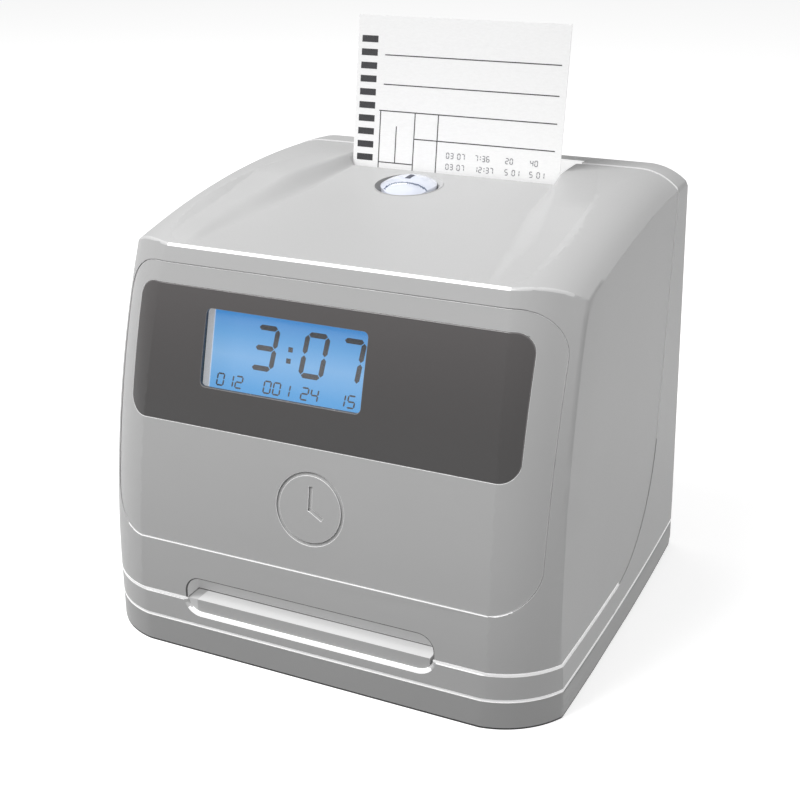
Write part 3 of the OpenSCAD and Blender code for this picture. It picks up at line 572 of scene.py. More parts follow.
def seam_strip(name, node, test, low, high, depth, thick, look, body):
    """A strip in the gap beyond a seam's edge: low to high mm away, and thick from depth mm in.

    test gives an edge's directions (away into the gap, out of the surface), or None to leave it out.
    """
    bm = welded(node)
    tested = [(e, test(m, n1, n2)) for e, m, n1, n2 in edge_faces(bm)]
    picked = [(e, *found) for e, found in tested if found]
    out_bm = bmesh.new()
    section = ((low, depth), (high, depth), (high, depth + thick), (low, depth + thick))
    for run in chains_of(picked):
        closed = (run[0][0] - run[-1][0]).length < WELD
        rings = [[out_bm.verts.new(place + away * a * MM - out * b * MM) for a, b in section]
                 for place, away, out in (run[:-1] if closed else run)]
        loft(out_bm, rings, closed)
    bm.free()
    made_piece(out_bm, name, look, body, SMOOTH_MADE)


def print_on(plate, name, outlines, look, body, proud=0.00003, thick=0.00003):
    """Flat shapes printed on a plate; outlines are lists of (right, up) from its centre."""
    bm = bmesh.new()
    for outline in outlines:
        back = [plate.centre + plate.right * x + plate.up * y + plate.normal * proud for x, y in outline]
        front = [p + plate.normal * thick for p in back]
        loft(bm, [[bm.verts.new(p) for p in loop] for loop in (front, back)])
    made_piece(bm, name, look, body)


def on_plate(place, plate):
    """(right, up) of a place, from the plate's centre."""
    offset = place - plate.centre
    return offset.dot(plate.right), offset.dot(plate.up)


def bar(x0, y0, x1, y1, width):
    """A straight printed line as an outline."""
    along = Vector((x1 - x0, y1 - y0)).normalized()
    side = Vector((-along.y, along.x)) * width / 2
    return [(x0 + side.x, y0 + side.y), (x0 - side.x, y0 - side.y),
            (x1 - side.x, y1 - side.y), (x1 + side.x, y1 + side.y)]


def box_outline(x, y, half_wide, half_high):
    """An upright rectangle about x, y as an outline."""
    return [(x - half_wide, y - half_high), (x + half_wide, y - half_high),
            (x + half_wide, y + half_high), (x - half_wide, y + half_high)]


SEGMENTS = {"0": "abcdef", "1": "bc", "2": "abged", "3": "abgcd", "4": "fgbc", "5": "afgcd",
            "6": "afgedc", "7": "abc", "8": "abcdefg", "9": "abcdfg"}


def digit(text, x, y, wide, high, stroke, slant=0.0):
    """Outlines of one seven-segment digit, its lower left corner at x, y."""
    gap = stroke * 0.12  # half of what shows between two segments
    half = stroke / 2
    mid = high / 2
    ends = {"a": ((0, high), (wide, high)), "g": ((0, mid), (wide, mid)), "d": ((0, 0), (wide, 0)),
            "f": ((0, mid), (0, high)), "b": ((wide, mid), (wide, high)),
            "e": ((0, 0), (0, mid)), "c": ((wide, 0), (wide, mid))}
    shapes = []
    for s in SEGMENTS[text]:
        (x0, y0), (x1, y1) = ends[s]
        level = y0 == y1
        start, end = (x0 + gap, x1 - gap) if level else (y0 + gap, y1 - gap)
        points = [(start, 0), (start + half, half), (end - half, half), (end, 0), (end - half, -half),
                  (start + half, -half)]
        points = [(along, y0 + off) if level else (x0 - off, along) for along, off in points]
        shapes.append([(x + px + slant * py, y + py) for px, py in points])
    return shapes


# ---- Time card's print

# all in metres on the card's face
BAR_HALF = (0.0036, 0.0013)  # a timing bar's half width and half height
BAR_COUNT = 30
BAR_PITCHES = 9  # from the point first_bar to the point last_bar
BAR_MARGIN = 0.004  # what the bars leave free at the card's foot
RULE_MARGIN = 0.006  # and what the lines leave free
LINE = 0.0004
RULES_LEFT, RULES_RIGHT = 0.0034, 0.0027  # the rules' ends, from the bars and the card's right edge
RULES = (0, 0.0116, 0.0221, 0.0325)  # the rules, below the point first_rule
RULE_REACH = 0.0014  # how much further left the third rule begins
ROW_PITCH = 0.0145  # the rules further down, in the card's hidden part
ROW_COUNT = 8
COLUMNS = (-0.0007, 0.0067, 0.0148, 0.0251)  # upright lines, from the rules' left end
BOX_TOP, BOX_FOOT = 0.0059, 0.0207  # the short line in the left box and the box's foot
STAMPS = (("03 07", "7:36", "20", "40"), ("03 07", "12:37", "5 01", "5 01"))
STAMP_AT = (0.0296, 0.0421, 0.0551, 0.0655)  # groups of stamped digits, from the rules' left end
STAMP_DOWN, STAMP_PITCH = 0.0064, 0.0044
STAMP_DIGIT = (0.0011, 0.0021, 0.0003)  # width, height and stroke
STAMP_STEP, STAMP_SPACE = 0.00185, 0.0012  # from one digit to the next, and past a space or colon
STAMP_DOTS = (0.0007, 0.0017)  # the colon's dots, above the digits' foot
DOT_LEFT = 0.0002  # and how far in they begin

card_plate = frame_of("time_card")
card_tree = tree_of([NODES["time_card"]])


def on_card(point):
    return on_plate(on_surface(point, card_tree), card_plate)


def card_lines(left):
    """Outlines of the card's lines, their left end and the last rule; left is where its bars end."""
    x0, x1 = left + RULES_LEFT, card_plate.wide / 2 - RULES_RIGHT
    rule = on_card(POINTS["first_rule"])[1]
    rows = [rule - down for down in RULES]
    columns = [x0 + x for x in COLUMNS]
    floor = -card_plate.high / 2 + RULE_MARGIN
    box_foot = rows[2] - BOX_FOOT
    lines = [(x0, y, x1, y) for y in rows[:2]] + [(x0 - RULE_REACH, rows[2], x1, rows[2])]
    for i, x in enumerate(columns):
        lines.append((x, rows[2] - BOX_TOP, x, box_foot) if i == 1 else (x, rows[2], x, floor))
    lines += [(columns[2], rows[3], x1, rows[3]), (columns[0], box_foot, columns[2], box_foot)]
    lower = [rows[3] - ROW_PITCH * k for k in range(1, ROW_COUNT + 1)]
    lines += [(columns[2], y, x1, y) for y in lower if y > floor]
    return [bar(*line, LINE) for line in lines], x0, rows[3]


def card_stamps(x0, y0):
    """Outlines of the stamped digits, from the rules' left end and the last rule's height."""
    stamps = []
    for row, groups in enumerate(STAMPS):
        y = y0 - STAMP_DOWN - row * STAMP_PITCH
        for start, text in zip(STAMP_AT, groups):
            x = x0 + start
            for c in text:
                if c in SEGMENTS:
                    stamps += digit(c, x, y, *STAMP_DIGIT)
                elif c == ":":
                    left = x + DOT_LEFT
                    stamps += [bar(left, y + h, left + LINE, y + h, LINE) for h in STAMP_DOTS]
                x += STAMP_SPACE if c in ": " else STAMP_STEP
    return stamps


def print_card():
    left, first = on_card(POINTS["first_bar"])
    pitch = (on_card(POINTS["last_bar"])[1] - first) / BAR_PITCHES
    heights = [first + pitch * i for i in range(BAR_COUNT)]
    marks = [box_outline(left, y, *BAR_HALF) for y in heights if y > -card_plate.high / 2 + BAR_MARGIN]
    lines, x0, last_rule = card_lines(left + BAR_HALF[0])
    print_on(card_plate, "card_timing_bars", marks, "card_ink", "card")
    print_on(card_plate, "card_rules", lines, "card_ink", "card")
    print_on(card_plate, "card_stamps", card_stamps(x0, last_rule), "stamp_ink", "card")


print_card()


# ---- Rounded edges with painted highlights, and seams filled with painted light

# heights of the case's level seams, in mm
TRAY_TOP = 11.05
HOUSING_FOOT = 11.95
HOUSING_TOP = 21.4
COVER_FOOT = 22.3
LIP_TOP, CREASE_TOP = 18.4, 20  # where the finger notch's painted highlight on its lip ends, and the fainter painted highlight above it
NOTCH_HALF, NOTCH_TOP = 50.7, 31.2
BROW_HALF = 54  # the brow's painted highlight ends here, where the shoulders begin
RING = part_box("button_ring")
RING_X = (RING[0].x + RING[1].x) / 2 / MM
TRAY_DRAWN_IN = (0.9997, 0.9996, 1, 1)  # so that only the skirt shows on the tray's sides

# The tests pick edges by their middle m and two normals, or faces by m and one normal n, with m in mm.


def least_most(a, b):
    """The smaller and the larger size of two numbers, whatever their signs."""
    return sorted((abs(a), abs(b)))


def level(z):
    """A test for the outer edge of a level seam at height z."""
    def test(m, n1, n2):
        least, most = least_most(n1.z, n2.z)
        return abs(m.z - z) < 0.06 and least < 0.5 < most
    return test


def brow(m, n1, n2):
    """The cover's front edge, between its top and its upright front."""
    return m.y < -50 and m.z > 120 and max(n1.z, n2.z) > 0.7 and min(n1.y, n2.y) < -0.4


# the brow's middle wears a strong painted highlight, its ends over the shoulders a faint one
def brow_look(m):
    return "brow_edge" if abs(m.x) < BROW_HALF else "crease"


def panel_rim(m, n1, n2):
    """The front edges round the panel and round the dark window."""
    least, most = least_most(n1.y, n2.y)
    return 42 < m.z < 147 and abs(m.x) < 87 and m.y < -30 and most > 0.6 and least < 0.05


# the panel's lower rim wears the painted highlight
def panel_look(m):
    return "edge" if m.z < 46 and abs(m.x) < 80 else "case"


def notch_rim(m, n1, n2):
    """The finger notch's outer edge, in the housing and in the cover."""
    least, most = least_most(n1.y, n2.y)
    return abs(m.x) < NOTCH_HALF and 16.8 < m.z < NOTCH_TOP and m.y < -81 and min(n1.y, n2.y) < -0.9 \
        and most > 0.9 and least < 0.1


# the notch's rim wears a painted highlight at its lip, fading out above it
def notch_look(m):
    return "lip" if m.z < LIP_TOP else "crease" if m.z < CREASE_TOP else "case"


def rear_crease(m, n1, n2):
    """The housing's edge from its side to its rounded top."""
    return m.y > 66.6 and m.z > 100 and abs(m.x) > 80 and least_most(n1.x, n2.x)[0] < 0.9 \
        and least_most(n1.y, n2.y)[1] < 0.3


# faces inside the notch, which glow as painted light
def in_notch(m, n):
    return abs(m.x) < NOTCH_HALF and 22 < m.z < NOTCH_TOP and -81.9 < m.y < -73


def on_funnel(m, n):
    """The sloping face behind the card, made bright by a glow of painted light."""
    return abs(m.x) < 47.5 and m.y > 45 and m.z > 145 and n.y < -0.3 and n.z > 0.3


def on_step(m, n):
    """The housing's front face, which stands a little proud of the cover, and glows as painted light."""
    return n.y < -0.97 and 0.16 < n.z < 0.22


def dish_wall(m, n):
    """The left side of the button's dish, which faces away from the light."""
    return m.x < RING_X - 7 and n.x > 0.03 and n.z > 0.2


# each chain's look paints its rounded edge: a painted highlight, or painted shade where the look is shade
CASE_CHAINS = {
    "top_cover": [(0.75, 4, brow, brow_look), (0.3, 2, panel_rim, panel_look), (0.5, 2, notch_rim, "shade"),
                  (0.3, 2, level(COVER_FOOT), "edge")],
    "rear_housing": [(1.5, 6, notch_rim, notch_look), (0.3, 3, level(HOUSING_TOP), "edge"),
                     (0.2, 2, level(HOUSING_FOOT), "edge"), (1.2, 4, rear_crease, "case")],
    "base_tray": [(0.2, 2, level(TRAY_TOP), "edge")],
    "dark_window": [(0.2, 2, panel_rim, "smoked_edge")],
    "front_panel": [(0.12, 2, panel_rim, "edge")],
    "button_ring": [],
}
RECOLOURED = {
    "top_cover": [("recess", in_notch)],
    "rear_housing": [("funnel", on_funnel), ("step", on_step)],
    "button_ring": [("dish", dish_wall)],
}
for node, chains in CASE_CHAINS.items():
    finished = softened(node, chains, RECOLOURED.get(node, ()))
    if node == "base_tray":
        finished.data.transform(Matrix.Diagonal(TRAY_DRAWN_IN))


def tray_edge(m, n1, n2):
    """The tray's level upper edge: (its cut face's normal, the outer face's normal)."""
    if level(TRAY_TOP)(m, n1, n2):
        return (n1, n2) if n1.z > 0.5 else (n2, n1)
    return None


def cover_edge(m, n1, n2):
    """The cover's level lower edge: (its cut face's normal, the outer face's normal)."""
    if level(COVER_FOOT)(m, n1, n2) and not (abs(m.x) < 50.6 and m.y < -70):
        return (n1, n2) if n1.z < -0.5 else (n2, n1)
    return None


def cover_back(m, n1, n2):
    """The cover's rear edge, up each side and over the top."""
    cut, face = (n1, n2) if n1.y > n2.y else (n2, n1)
    there = m.y > -6 and m.z > 22.35 and (abs(m.x) > 84 or (abs(m.x) > 49 and m.z > 150))
    outer = face.x * m.x > 0.5 * abs(m.x) or face.z > 0.3
    if there and outer and cut.y > 0.05 and abs(cut.x) < 0.02 and cut.z < 0.05:
        return cut, face
    return None


def panel_step(m, n1, n2):
    """The cover's rim round the front panel: (away into the gap, outwards)."""
    if panel_rim(m, n1, n2) and (abs(m.x) > 78 or m.z > 143 or m.z < 46):
        return (n1, n2) if abs(n1.y) < abs(n2.y) else (n2, n1)
    return None


# the tray's and cover's level seams are filled with pale glowing strips: a painted highlight where the gaps
# would be dark
seam_strip("tray_seam", "base_tray", tray_edge, low=0.05, high=0.85, depth=0.2, thick=0.6,
           look="seam_light", body="root")
seam_strip("cover_seam", "top_cover", cover_edge, low=0.1, high=0.85, depth=0.0, thick=0.7,
           look="seam_light", body="root")
# the cover's rear seam and the panel seam are filled with painted light, hiding their shade
seam_strip("cover_seam_back", "top_cover", cover_back, low=0.05, high=1.4, depth=0.03, thick=0.5,
           look="soft_seam", body="root")
seam_strip("panel_seam", "top_cover", panel_step, low=0.01, high=0.13, depth=0.32, thick=0.5,
           look="soft_seam", body="cover")


def block(name, sections, look, body, top_look=None):
    """A closed solid through a row of sections, each a loop of places; its ends are capped.

    The side that starts with each section's first two places wears top_look, if there is one.
    """
    bm = bmesh.new()
    sides = loft(bm, [[bm.verts.new(p) for p in section] for section in sections])
    if top_look:
        for f in sides[::len(sections[0])]:
            f.material_index = 1
    made_piece(bm, name, look, body, SMOOTH_MADE, [top_look] if top_look else [])


# ---- Notch ledge, base skirt and the shoulders' inner slopes

# in mm
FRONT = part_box("base_tray")[0].y / MM + 0.3  # the case's front face
RAY_FROM = 300  # rays start this far out
LEDGE_LOW, LEDGE_HIGH, LEDGE_THICK = 16.9, 21.95, 0.06
LEDGE_FRONT, LEDGE_WALL, LEDGE_BACK = FRONT + 0.8, FRONT + 4.4, FRONT + 8.1
LEDGE_X = (-50.4, -46.5, 49.0)  # where its end piece begins, and its own two ends


def notch_ledge():
    """The finger notch's raised back part, whose top runs on under the cover and glows as painted light."""
    under = LEDGE_HIGH - LEDGE_THICK
    section = [(LEDGE_FRONT, LEDGE_HIGH), (LEDGE_BACK, LEDGE_HIGH), (LEDGE_BACK, under),
               (LEDGE_WALL, under), (LEDGE_WALL, LEDGE_LOW), (LEDGE_FRONT, LEDGE_LOW)]
    end, left, right = ([Vector((x, y, z)) * MM for y, z in section] for x in LEDGE_X)
    block("notch_ledge", [left, right], "case", "root", "ledge_top")
    block("notch_ledge_end", [end, left], "recess", "root")


OUTLINE_STEPS = 720
INNER_X, INNER_Y = 82, 74  # a ray that gets further in than both came through an opening
SKIRT_AT = 8.0  # the height at which the tray's outline is read
SKIRT_THICK = 3.0


def outline_at(node, z):
    """The outer loop of a node at one height, by rays from all round it."""
    tree = tree_of([NODES[node]])
    loop = []
    for i in range(OUTLINE_STEPS):
        turn = math.tau * i / OUTLINE_STEPS
        way = Vector((math.cos(turn), math.sin(turn), 0))
        place = tree.ray_cast((way * RAY_FROM + Vector((0, 0, z))) * MM, -way)[0] / MM
        if abs(place.x) > INNER_X or abs(place.y) > INNER_Y:
            loop.append(Vector((place.x, place.y, 0)))
    return loop


def base_skirt(name, high, low, inset, look):
    """A band round the foot of the tray, where its side runs down to the floor."""
    bm = bmesh.new()
    rings = []
    for place in outline_at("base_tray", SKIRT_AT):
        inward = -place.normalized()
        outer, deep = place + inward * inset, place + inward * (inset + SKIRT_THICK)
        corners = ((outer, high), (outer, low), (deep, low))
        rings.append([bm.verts.new((p + Vector((0, 0, z))) * MM) for p, z in corners])
    loft(bm, rings, closed=True)
    made_piece(bm, name, look, "root", SMOOTH_MADE)


# distance from the front, foot and crest of a shoulder's inner slope
SLOPES = [(24, 57.2, 60.0), (60, 51.3, 62.0), (93, 45.9, 56.0), (112, 44.6, 50.5), (127, 43.3, 46.8),
          (149, 42.5, 46.0)]
SLOPE_FROM, SLOPE_TO = 25, 147.9
SLOT_AT = 127.0  # the cover's ramp ends here, in front of the card
CARD_CLEAR = 45.5  # the slope stays this far out beside the card
RAMP_X, RAMP_NEAR, RAMP_FAR = 35, 40, 120  # where the ramp's height is read
CROWN_FROM, CROWN_TO = 69, 47  # where the shoulder's crown is looked for
CROWN_STEP, CROWN_FALL = 0.1, 0.01  # it ends where one step in falls by more than this
SECTION_PITCH, SECTION_SPANS = 4, 10
PROUD = 0.02  # how far the slope stands off the shoulder
PAST = 0.6  # how far it runs on over the shoulder's crown
SUNK, UNDER_CROWN, UNDER_RAMP = 0.15, 1.5, 1  # its hidden side, inside the cover


def along_slopes(y):
    """Foot and crest of the inner slope at a distance from the front."""
    for (y0, f0, c0), (y1, f1, c1) in zip(SLOPES, SLOPES[1:]):
        if y <= y1:
            t = (y - y0) / (y1 - y0)
            return f0 + (f1 - f0) * t, c0 + (c1 - c0) * t
    return SLOPES[-1][1:]


def inner_slope(name, side, y0, y1, start):
    """One shoulder's slope down to the ramp, between two distances from the front and not inside start."""
    tree = tree_of([NODES["top_cover"]])

    def top_at(x, y):
        return tree.ray_cast(Vector((x, FRONT + y, RAY_FROM)) * MM, Vector((0, 0, -1)))[0].z / MM

    def crown_edge(y):
        """Where the shoulder's crown ends, coming inwards."""
        x = CROWN_FROM
        while x > CROWN_TO and top_at(x - CROWN_STEP, y) > top_at(x, y) - CROWN_FALL:
            x -= CROWN_STEP
        return x

    ramp_0, ramp_1 = top_at(RAMP_X, RAMP_NEAR), top_at(RAMP_X, RAMP_FAR)
    sections = []
    spans = math.ceil((y1 - y0) / SECTION_PITCH)
    for i in range(spans + 1):
        y = y0 + (y1 - y0) * i / spans
        foot, crest = along_slopes(y)
        ramp = ramp_0 + (ramp_1 - ramp_0) * (y - RAMP_NEAR) / (RAMP_FAR - RAMP_NEAR)
        past = max(crown_edge(y), crest) + PAST
        crown = top_at(past, y)
        first = max(foot, start)
        section = []
        for k in range(SECTION_SPANS + 1):
            x = first + (crest - first) * k / SECTION_SPANS
            t = (x - foot) / (crest - foot)
            section.append((x, ramp + (crown + PROUD - ramp) * t * t * (3 - 2 * t)))
        section += [(past, crown + PROUD), (past + 1, top_at(past + 1, y) - SUNK),
                    (past + 1, crown - UNDER_CROWN), (first, ramp - UNDER_RAMP)]
        sections.append([Vector((side * x, FRONT + y, z)) * MM for x, z in section])
    block(name, sections, "case", "cover")


for side, word in ((-1, "left"), (1, "right")):
    inner_slope("slope_" + word, side, SLOPE_FROM, SLOT_AT - 0.1, 0)
    inner_slope("slope_end_" + word, side, SLOT_AT - 0.1, SLOPE_TO, CARD_CLEAR)
notch_ledge()
base_skirt("base_skirt", high=10.3, low=0.8, inset=0, look="tray")
# painted shade: a black band under the tray's foot stands in for its contact shadow
base_skirt("base_gasket", high=0.85, low=0.05, inset=0.15, look="black")


# ---- Print button

CAP_TILT = math.radians(6.16)  # it leans back with the cover's ramp
CAP_BACK = Vector((0, math.cos(CAP_TILT), math.sin(CAP_TILT)))
CAP_UP = Vector((0, -math.sin(CAP_TILT), math.cos(CAP_TILT)))
# in mm, with its body as (radius, height) down to the plunger
CAP_RADIUS = 11.15
CAP_SINK = 0.2  # the cap's level zero, below the ring's rim
CAP_SIDE, CAP_RISE = 0.2, 3.2  # its upright side above that, and its dome above the side
CAP_DOME = (CAP_RADIUS ** 2 + CAP_RISE ** 2) / (2 * CAP_RISE)
CAP_BODY = [(CAP_RADIUS, -3.0), (CAP_RADIUS - 1, -3.0), (CAP_RADIUS - 1, -4.8), (CAP_RADIUS + 1.2, -4.8),
            (CAP_RADIUS + 1.2, -6.2), (2.0, -6.2), (2.0, -9.5)]
CAP_RINGS, CAP_AROUND = 44, 144
SCOOP_AT, SCOOP_TURN = (2.35, -9.76), math.radians(9)
SCOOP_HALF, SCOOP_DEEP = (9.1, 5.0), 0.9
SCOOP_SHADE = (0.74, 1.02)  # what scooped() gives on the shaded part of its edge,
SCOOP_FRONT = -8.5  # which lies behind this
DASH = ((-1.1, -2.2), (0.9, -2.0), (1.1, 2.3), (-0.8, 2.0))  # the printed dash's corners
DASH_LAYERS = (0.24, 0.02)  # its top and underside, above the dome


def cap_origin():
    """The middle of the ring's opening, at the cap's level zero."""
    low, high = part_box("button_ring")
    ring = [v.co for v in NODES["button_ring"].data.vertices]
    rim = max(p.dot(CAP_UP) for p in ring)
    depths = [p.dot(CAP_BACK) for p in ring]
    centre = Vector(((low.x + high.x) / 2, 0, 0)) + CAP_BACK * (min(depths) + max(depths)) / 2
    return centre + CAP_UP * (rim - CAP_SINK * MM)


CAP_ORIGIN = cap_origin()


def cap_place(x, y, z):
    """A place in metres from mm to the right, back and up."""
    return CAP_ORIGIN + (Vector((x, 0, 0)) + CAP_BACK * y + CAP_UP * z) * MM


def dome_height(x, y):
    return CAP_SIDE + CAP_RISE - CAP_DOME + math.sqrt(CAP_DOME ** 2 - x * x - y * y)


def scooped(x, y):
    """Below 1 inside the scoop in the cap's front, 0 in its middle."""
    dx, dy = x - SCOOP_AT[0], y - SCOOP_AT[1]
    u = dx * math.cos(SCOOP_TURN) + dy * math.sin(SCOOP_TURN)
    v = -dx * math.sin(SCOOP_TURN) + dy * math.cos(SCOOP_TURN)
    return (u / SCOOP_HALF[0]) ** 4 + (v / SCOOP_HALF[1]) ** 4


def print_cap():
    """The button with the scoop in its front, turned from the CAD button's own sizes."""
    bm = bmesh.new()

    def ring_of(r, z=None):
        """A ring of vertices at height z, or on the dome."""
        points = []
        for i in range(CAP_AROUND):
            x, y = (r * f(math.tau * i / CAP_AROUND) for f in (math.cos, math.sin))
            s = scooped(x, y)
            drop = SCOOP_DEEP * (1 - s ** 2) if s < 1 and z is None else 0
            points.append(bm.verts.new(cap_place(x, y, (dome_height(x, y) if z is None else z) - drop)))
        return points

    top = bm.verts.new(cap_place(0, 0, CAP_SIDE + CAP_RISE))
    rings = [ring_of(CAP_RADIUS * (i + 1) / CAP_RINGS) for i in range(CAP_RINGS)]
    rings += [ring_of(r, z) for r, z in CAP_BODY]
    for i in range(CAP_AROUND):
        bm.faces.new([top, rings[0][i], rings[0][(i + 1) % CAP_AROUND]])
    for r, q in zip(rings, rings[1:]):
        for i in range(CAP_AROUND):
            j = (i + 1) % CAP_AROUND
            f = bm.faces.new([r[i], q[i], q[j], r[j]])
            m = (f.calc_center_median() - CAP_ORIGIN) / MM
            shaded = SCOOP_SHADE[0] < scooped(m.x, m.dot(CAP_BACK)) < SCOOP_SHADE[1]
            if shaded and m.dot(CAP_UP) > 0 and m.dot(CAP_BACK) > SCOOP_FRONT:
                f.material_index = 1
    bm.faces.new(rings[-1])
    o = made_piece(bm, "print_button_finished", "cap", "button", SMOOTH_CAP, ["cap_shade"])
    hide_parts("print_button")
    return o


def print_dash(cap):
    """The short dash printed on the cap, at its image point."""
    hit = (on_surface(POINTS["button_mark"], tree_of([cap])) - CAP_ORIGIN) / MM
    mark = [(hit.x + x, hit.dot(CAP_BACK) + y) for x, y in DASH]
    bm = bmesh.new()
    loft(bm, [[bm.verts.new(cap_place(x, y, dome_height(x, y) + lift)) for x, y in mark]
              for lift in DASH_LAYERS])
    made_piece(bm, "button_dash", "mark", "button")


print_dash(print_cap())


# ---- Display's digits

# in metres on the display's face, from the point digit_colon; a digit is width, height and stroke
SLANT = 0.119
TIME = (("3", -0.0151), ("0", 0.0050), ("7", 0.0192))
TIME_FOOT, TIME_DIGIT = -0.0062, (0.0080, 0.0147, 0.0019)
DOTS, DOT_HALF = ((0.00023, 0.00204), (-0.00023, -0.00204)), 0.0009
ROW = (("012", -0.0290), ("001", -0.0094), ("24", 0.0059), ("15", 0.0205))
ROW_FOOT, ROW_DIGIT, ROW_STEP = -0.0148, (0.0027, 0.0043, 0.0006), 0.0039

lcd_plate = frame_of("display_glass")


def colon_place():
    return on_surface(POINTS["digit_colon"], tree_of([NODES["display_glass"]]))


def print_display():
    x0, y0 = on_plate(colon_place(), lcd_plate)
    shapes = []
    for text, x in TIME:
        shapes += digit(text, x0 + x, y0 + TIME_FOOT, *TIME_DIGIT, SLANT)
    shapes += [box_outline(x0 + x, y0 + y, DOT_HALF, DOT_HALF) for x, y in DOTS]
    for text, x in ROW:
        for i, c in enumerate(text):
            shapes += digit(c, x0 + x + i * ROW_STEP, y0 + ROW_FOOT, *ROW_DIGIT, SLANT)
    print_on(lcd_plate, "lcd_segments", shapes, "segment", "root", proud=0.00002, thick=0.00004)


print_display()


# ---- Stage, light and finish

LAMPS_AIM = Vector((0, 0, 0.09))  # the object's middle
FLOOR_HALF = 4.0
CAMERA_RAYS = ("Is Camera Ray", "Is Transmission Ray")


def camera_mix(tree, seen, unseen, rays):
    """Joins two shaders: the first is what these kinds of ray see, the second what lights the object."""
    path = add_node(tree, "LightPath").outputs
    either = path[rays[0]]
    for ray in rays[1:]:
        either = add_node(tree, "Math", {0: either, 1: path[ray]})
        either.operation = "MAXIMUM"
    return add_node(tree, "MixShader", {0: either, 1: unseen, 2: seen})


def make_stage():
    """A plain floor: white for the camera, dull for the light that it throws back on the object."""
    mesh = bpy.data.meshes.new("floor")
    corners = [(x, y, 0) for x, y in box_outline(0, 0, FLOOR_HALF, FLOOR_HALF)]
    mesh.from_pydata(corners, [], [(0, 1, 2, 3)])
    floor = bpy.data.objects.new("floor", mesh)
    link(floor)
    material = bpy.data.materials.new("floor_white")
    material.use_nodes = True
    tree = material.node_tree
    tree.nodes.clear()
    pale = add_node(tree, "BsdfDiffuse", {"Color": srgb(*grey(0.84))})
    dull = add_node(tree, "BsdfDiffuse", {"Color": srgb(*grey(0.16))})
    glow = add_node(tree, "Emission", {"Strength": 0.64})
    seen = add_node(tree, "AddShader", {0: pale, 1: glow})
    surface = camera_mix(tree, seen, dull, CAMERA_RAYS + ("Is Glossy Ray",))
    add_node(tree, "OutputMaterial", {"Surface": surface})
    mesh.materials.append(material)


def make_world():
    """White behind the object, and a softer light on it."""
    world = bpy.data.worlds.new("studio")
    bpy.context.scene.world = world
    world.use_nodes = True
    tree = world.node_tree
    tree.nodes.clear()
    white = add_node(tree, "Background", {"Strength": 1.0})
    light = add_node(tree, "Background", {"Color": (1, 1, 1, 1), "Strength": 0.38})
    add_node(tree, "OutputWorld", {"Surface": camera_mix(tree, white, light, CAMERA_RAYS)})


def lamp(name, place, size, power):
    """A soft light that looks at the object."""
    data = bpy.data.lights.new(name, "AREA")
    data.shape = "RECTANGLE"
    data.size, data.size_y = size
    data.energy = power
    o = bpy.data.objects.new(name, data)
    o.location = place
    o.rotation_euler = (LAMPS_AIM - Vector(place)).to_track_quat("-Z", "Y").to_euler()
    link(o)


make_stage()
make_world()
lamp("key", (-0.6, -0.8, 1.45), size=(0.9, 0.6), power=24)
lamp("top", (-0.7, 0.3, 1.5), size=(1.2, 1.0), power=3.5)
lamp("side", (1.5, -0.1, 0.4), size=(0.7, 0.7), power=6.5)
bpy.context.scene.view_settings.view_transform = "Standard"


# ---- Image places of the points, measured on the finished scene

MESHES = [o for o in bpy.context.scene.objects if o.type == "MESH"]
SHOWN = [o for o in MESHES if not o.hide_render and o.name != "floor"]
SHOWN_TREE = tree_of([o for o in SHOWN if o.name != "clear_window"])
NEAR = 0.0006  # a vertex this close behind the first surface still shows, in metres
COLON_REACH = 0.0035  # the colon's dots lie within this of its point
BAR_CORNERS = 8  # vertices of one printed bar or straight rule


def shown_vertices(o, keep=None, look=None):
    """Image places of a piece's finished vertices that the camera sees.

    keep tests a vertex's place in mm; look leaves only the faces that wear it.
    """
    kept = set(range(len(o.data.vertices)))
    if look:
        index = [m.name for m in o.data.materials].index(LOOK[look].name)
        kept = {v for p in o.data.polygons if p.material_index == index for v in p.vertices}
    start = camera.matrix_world.translation
    found = []
    for i in kept:
        place = o.matrix_world @ o.data.vertices[i].co
        if keep and not keep(place / MM):
            continue
        hit = SHOWN_TREE.ray_cast(start, (place - start).normalized())[0]
        if hit is None or (hit - start).length > (place - start).length - NEAR:
            found.append(in_image(place))
    return found


def middle_of(places):
    """The middle of the box round some image places."""
    xs, ys = zip(*places)
    return (min(xs) + max(xs)) / 2, (min(ys) + max(ys)) / 2


def piece(name):
    return bpy.data.objects[name]


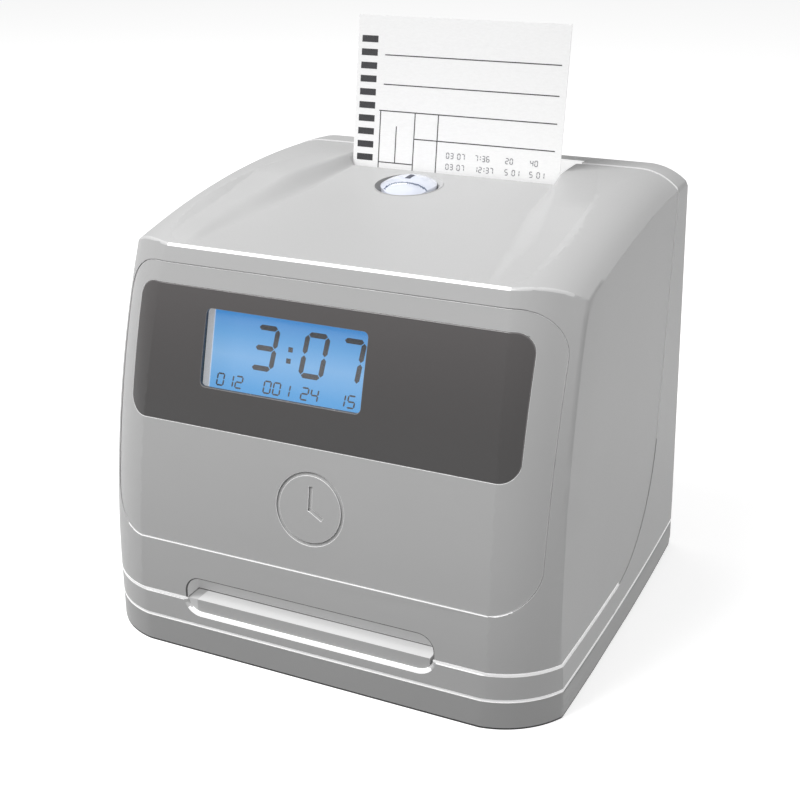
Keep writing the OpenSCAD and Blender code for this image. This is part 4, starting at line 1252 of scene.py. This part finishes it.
def by_notch(p):
    return abs(p.x) < NOTCH_HALF + 0.2 and 16 < p.z < NOTCH_TOP + 0.2 and p.y < -80.9


def measured_points():
    """Image x and y at which each point's thing shows, with None where the point doesn't set one."""
    xs, ys = zip(*(p for o in SHOWN for p in shown_vertices(o)))
    brow_ends = shown_vertices(piece("top_cover_finished"), look="brow_edge")
    window = shown_vertices(piece("dark_window_finished"))
    near, far = (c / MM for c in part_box("clear_window"))
    view = shown_vertices(piece("dark_window_finished"),
                          lambda p: near.x - 1 < p.x < far.x + 1 and near.z - 1 < p.z < far.z + 1)
    card = shown_vertices(NODES["time_card"])
    bars, rules = piece("card_timing_bars"), piece("card_rules")

    def printed(o, number):
        """Image places of one bar's or rule's corners."""
        start = number * BAR_CORNERS
        return [in_image(v.co) for v in o.data.vertices[start:start + BAR_CORNERS]]

    notch = [p for name in ("rear_housing_finished", "top_cover_finished")
             for p in shown_vertices(piece(name), by_notch)]
    segments = piece("lcd_segments").data.vertices
    colon = colon_place()
    dots = [in_image(v.co) for v in segments if (v.co - colon).length < COLON_REACH]
    return {
        "object_left": (min(xs), None),
        "object_right": (max(xs), None),
        "object_top": (None, min(ys)),
        "object_bottom": (None, max(ys)),
        "brow_left": min(brow_ends),
        "brow_right": max(brow_ends),
        "window_top_left": min(window, key=sum),
        "window_bottom_right": max(window, key=sum),
        "view_top_left": min(view, key=sum),
        "view_bottom_right": max(view, key=sum),
        "card_top_left": min(card, key=sum),
        "card_top_right": max(card, key=lambda p: p[0] - p[1]),
        "first_bar": middle_of(printed(bars, 0)),
        "last_bar": middle_of(printed(bars, BAR_PITCHES)),
        "first_rule": middle_of(printed(rules, 0)),
        "digit_colon": middle_of(dots),
        "button_mark": middle_of(shown_vertices(piece("button_dash"))),
        "button_centre": middle_of(shown_vertices(piece("print_button_finished"))),
        "notch_left": min(notch),
        "notch_right": max(notch),
    }


def write_reports():
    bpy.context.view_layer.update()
    for name, shows in measured_points().items():
        [0 if at is None else round(at - POINTS[name][i], 1) for i, at in enumerate(shows)]


write_reports()
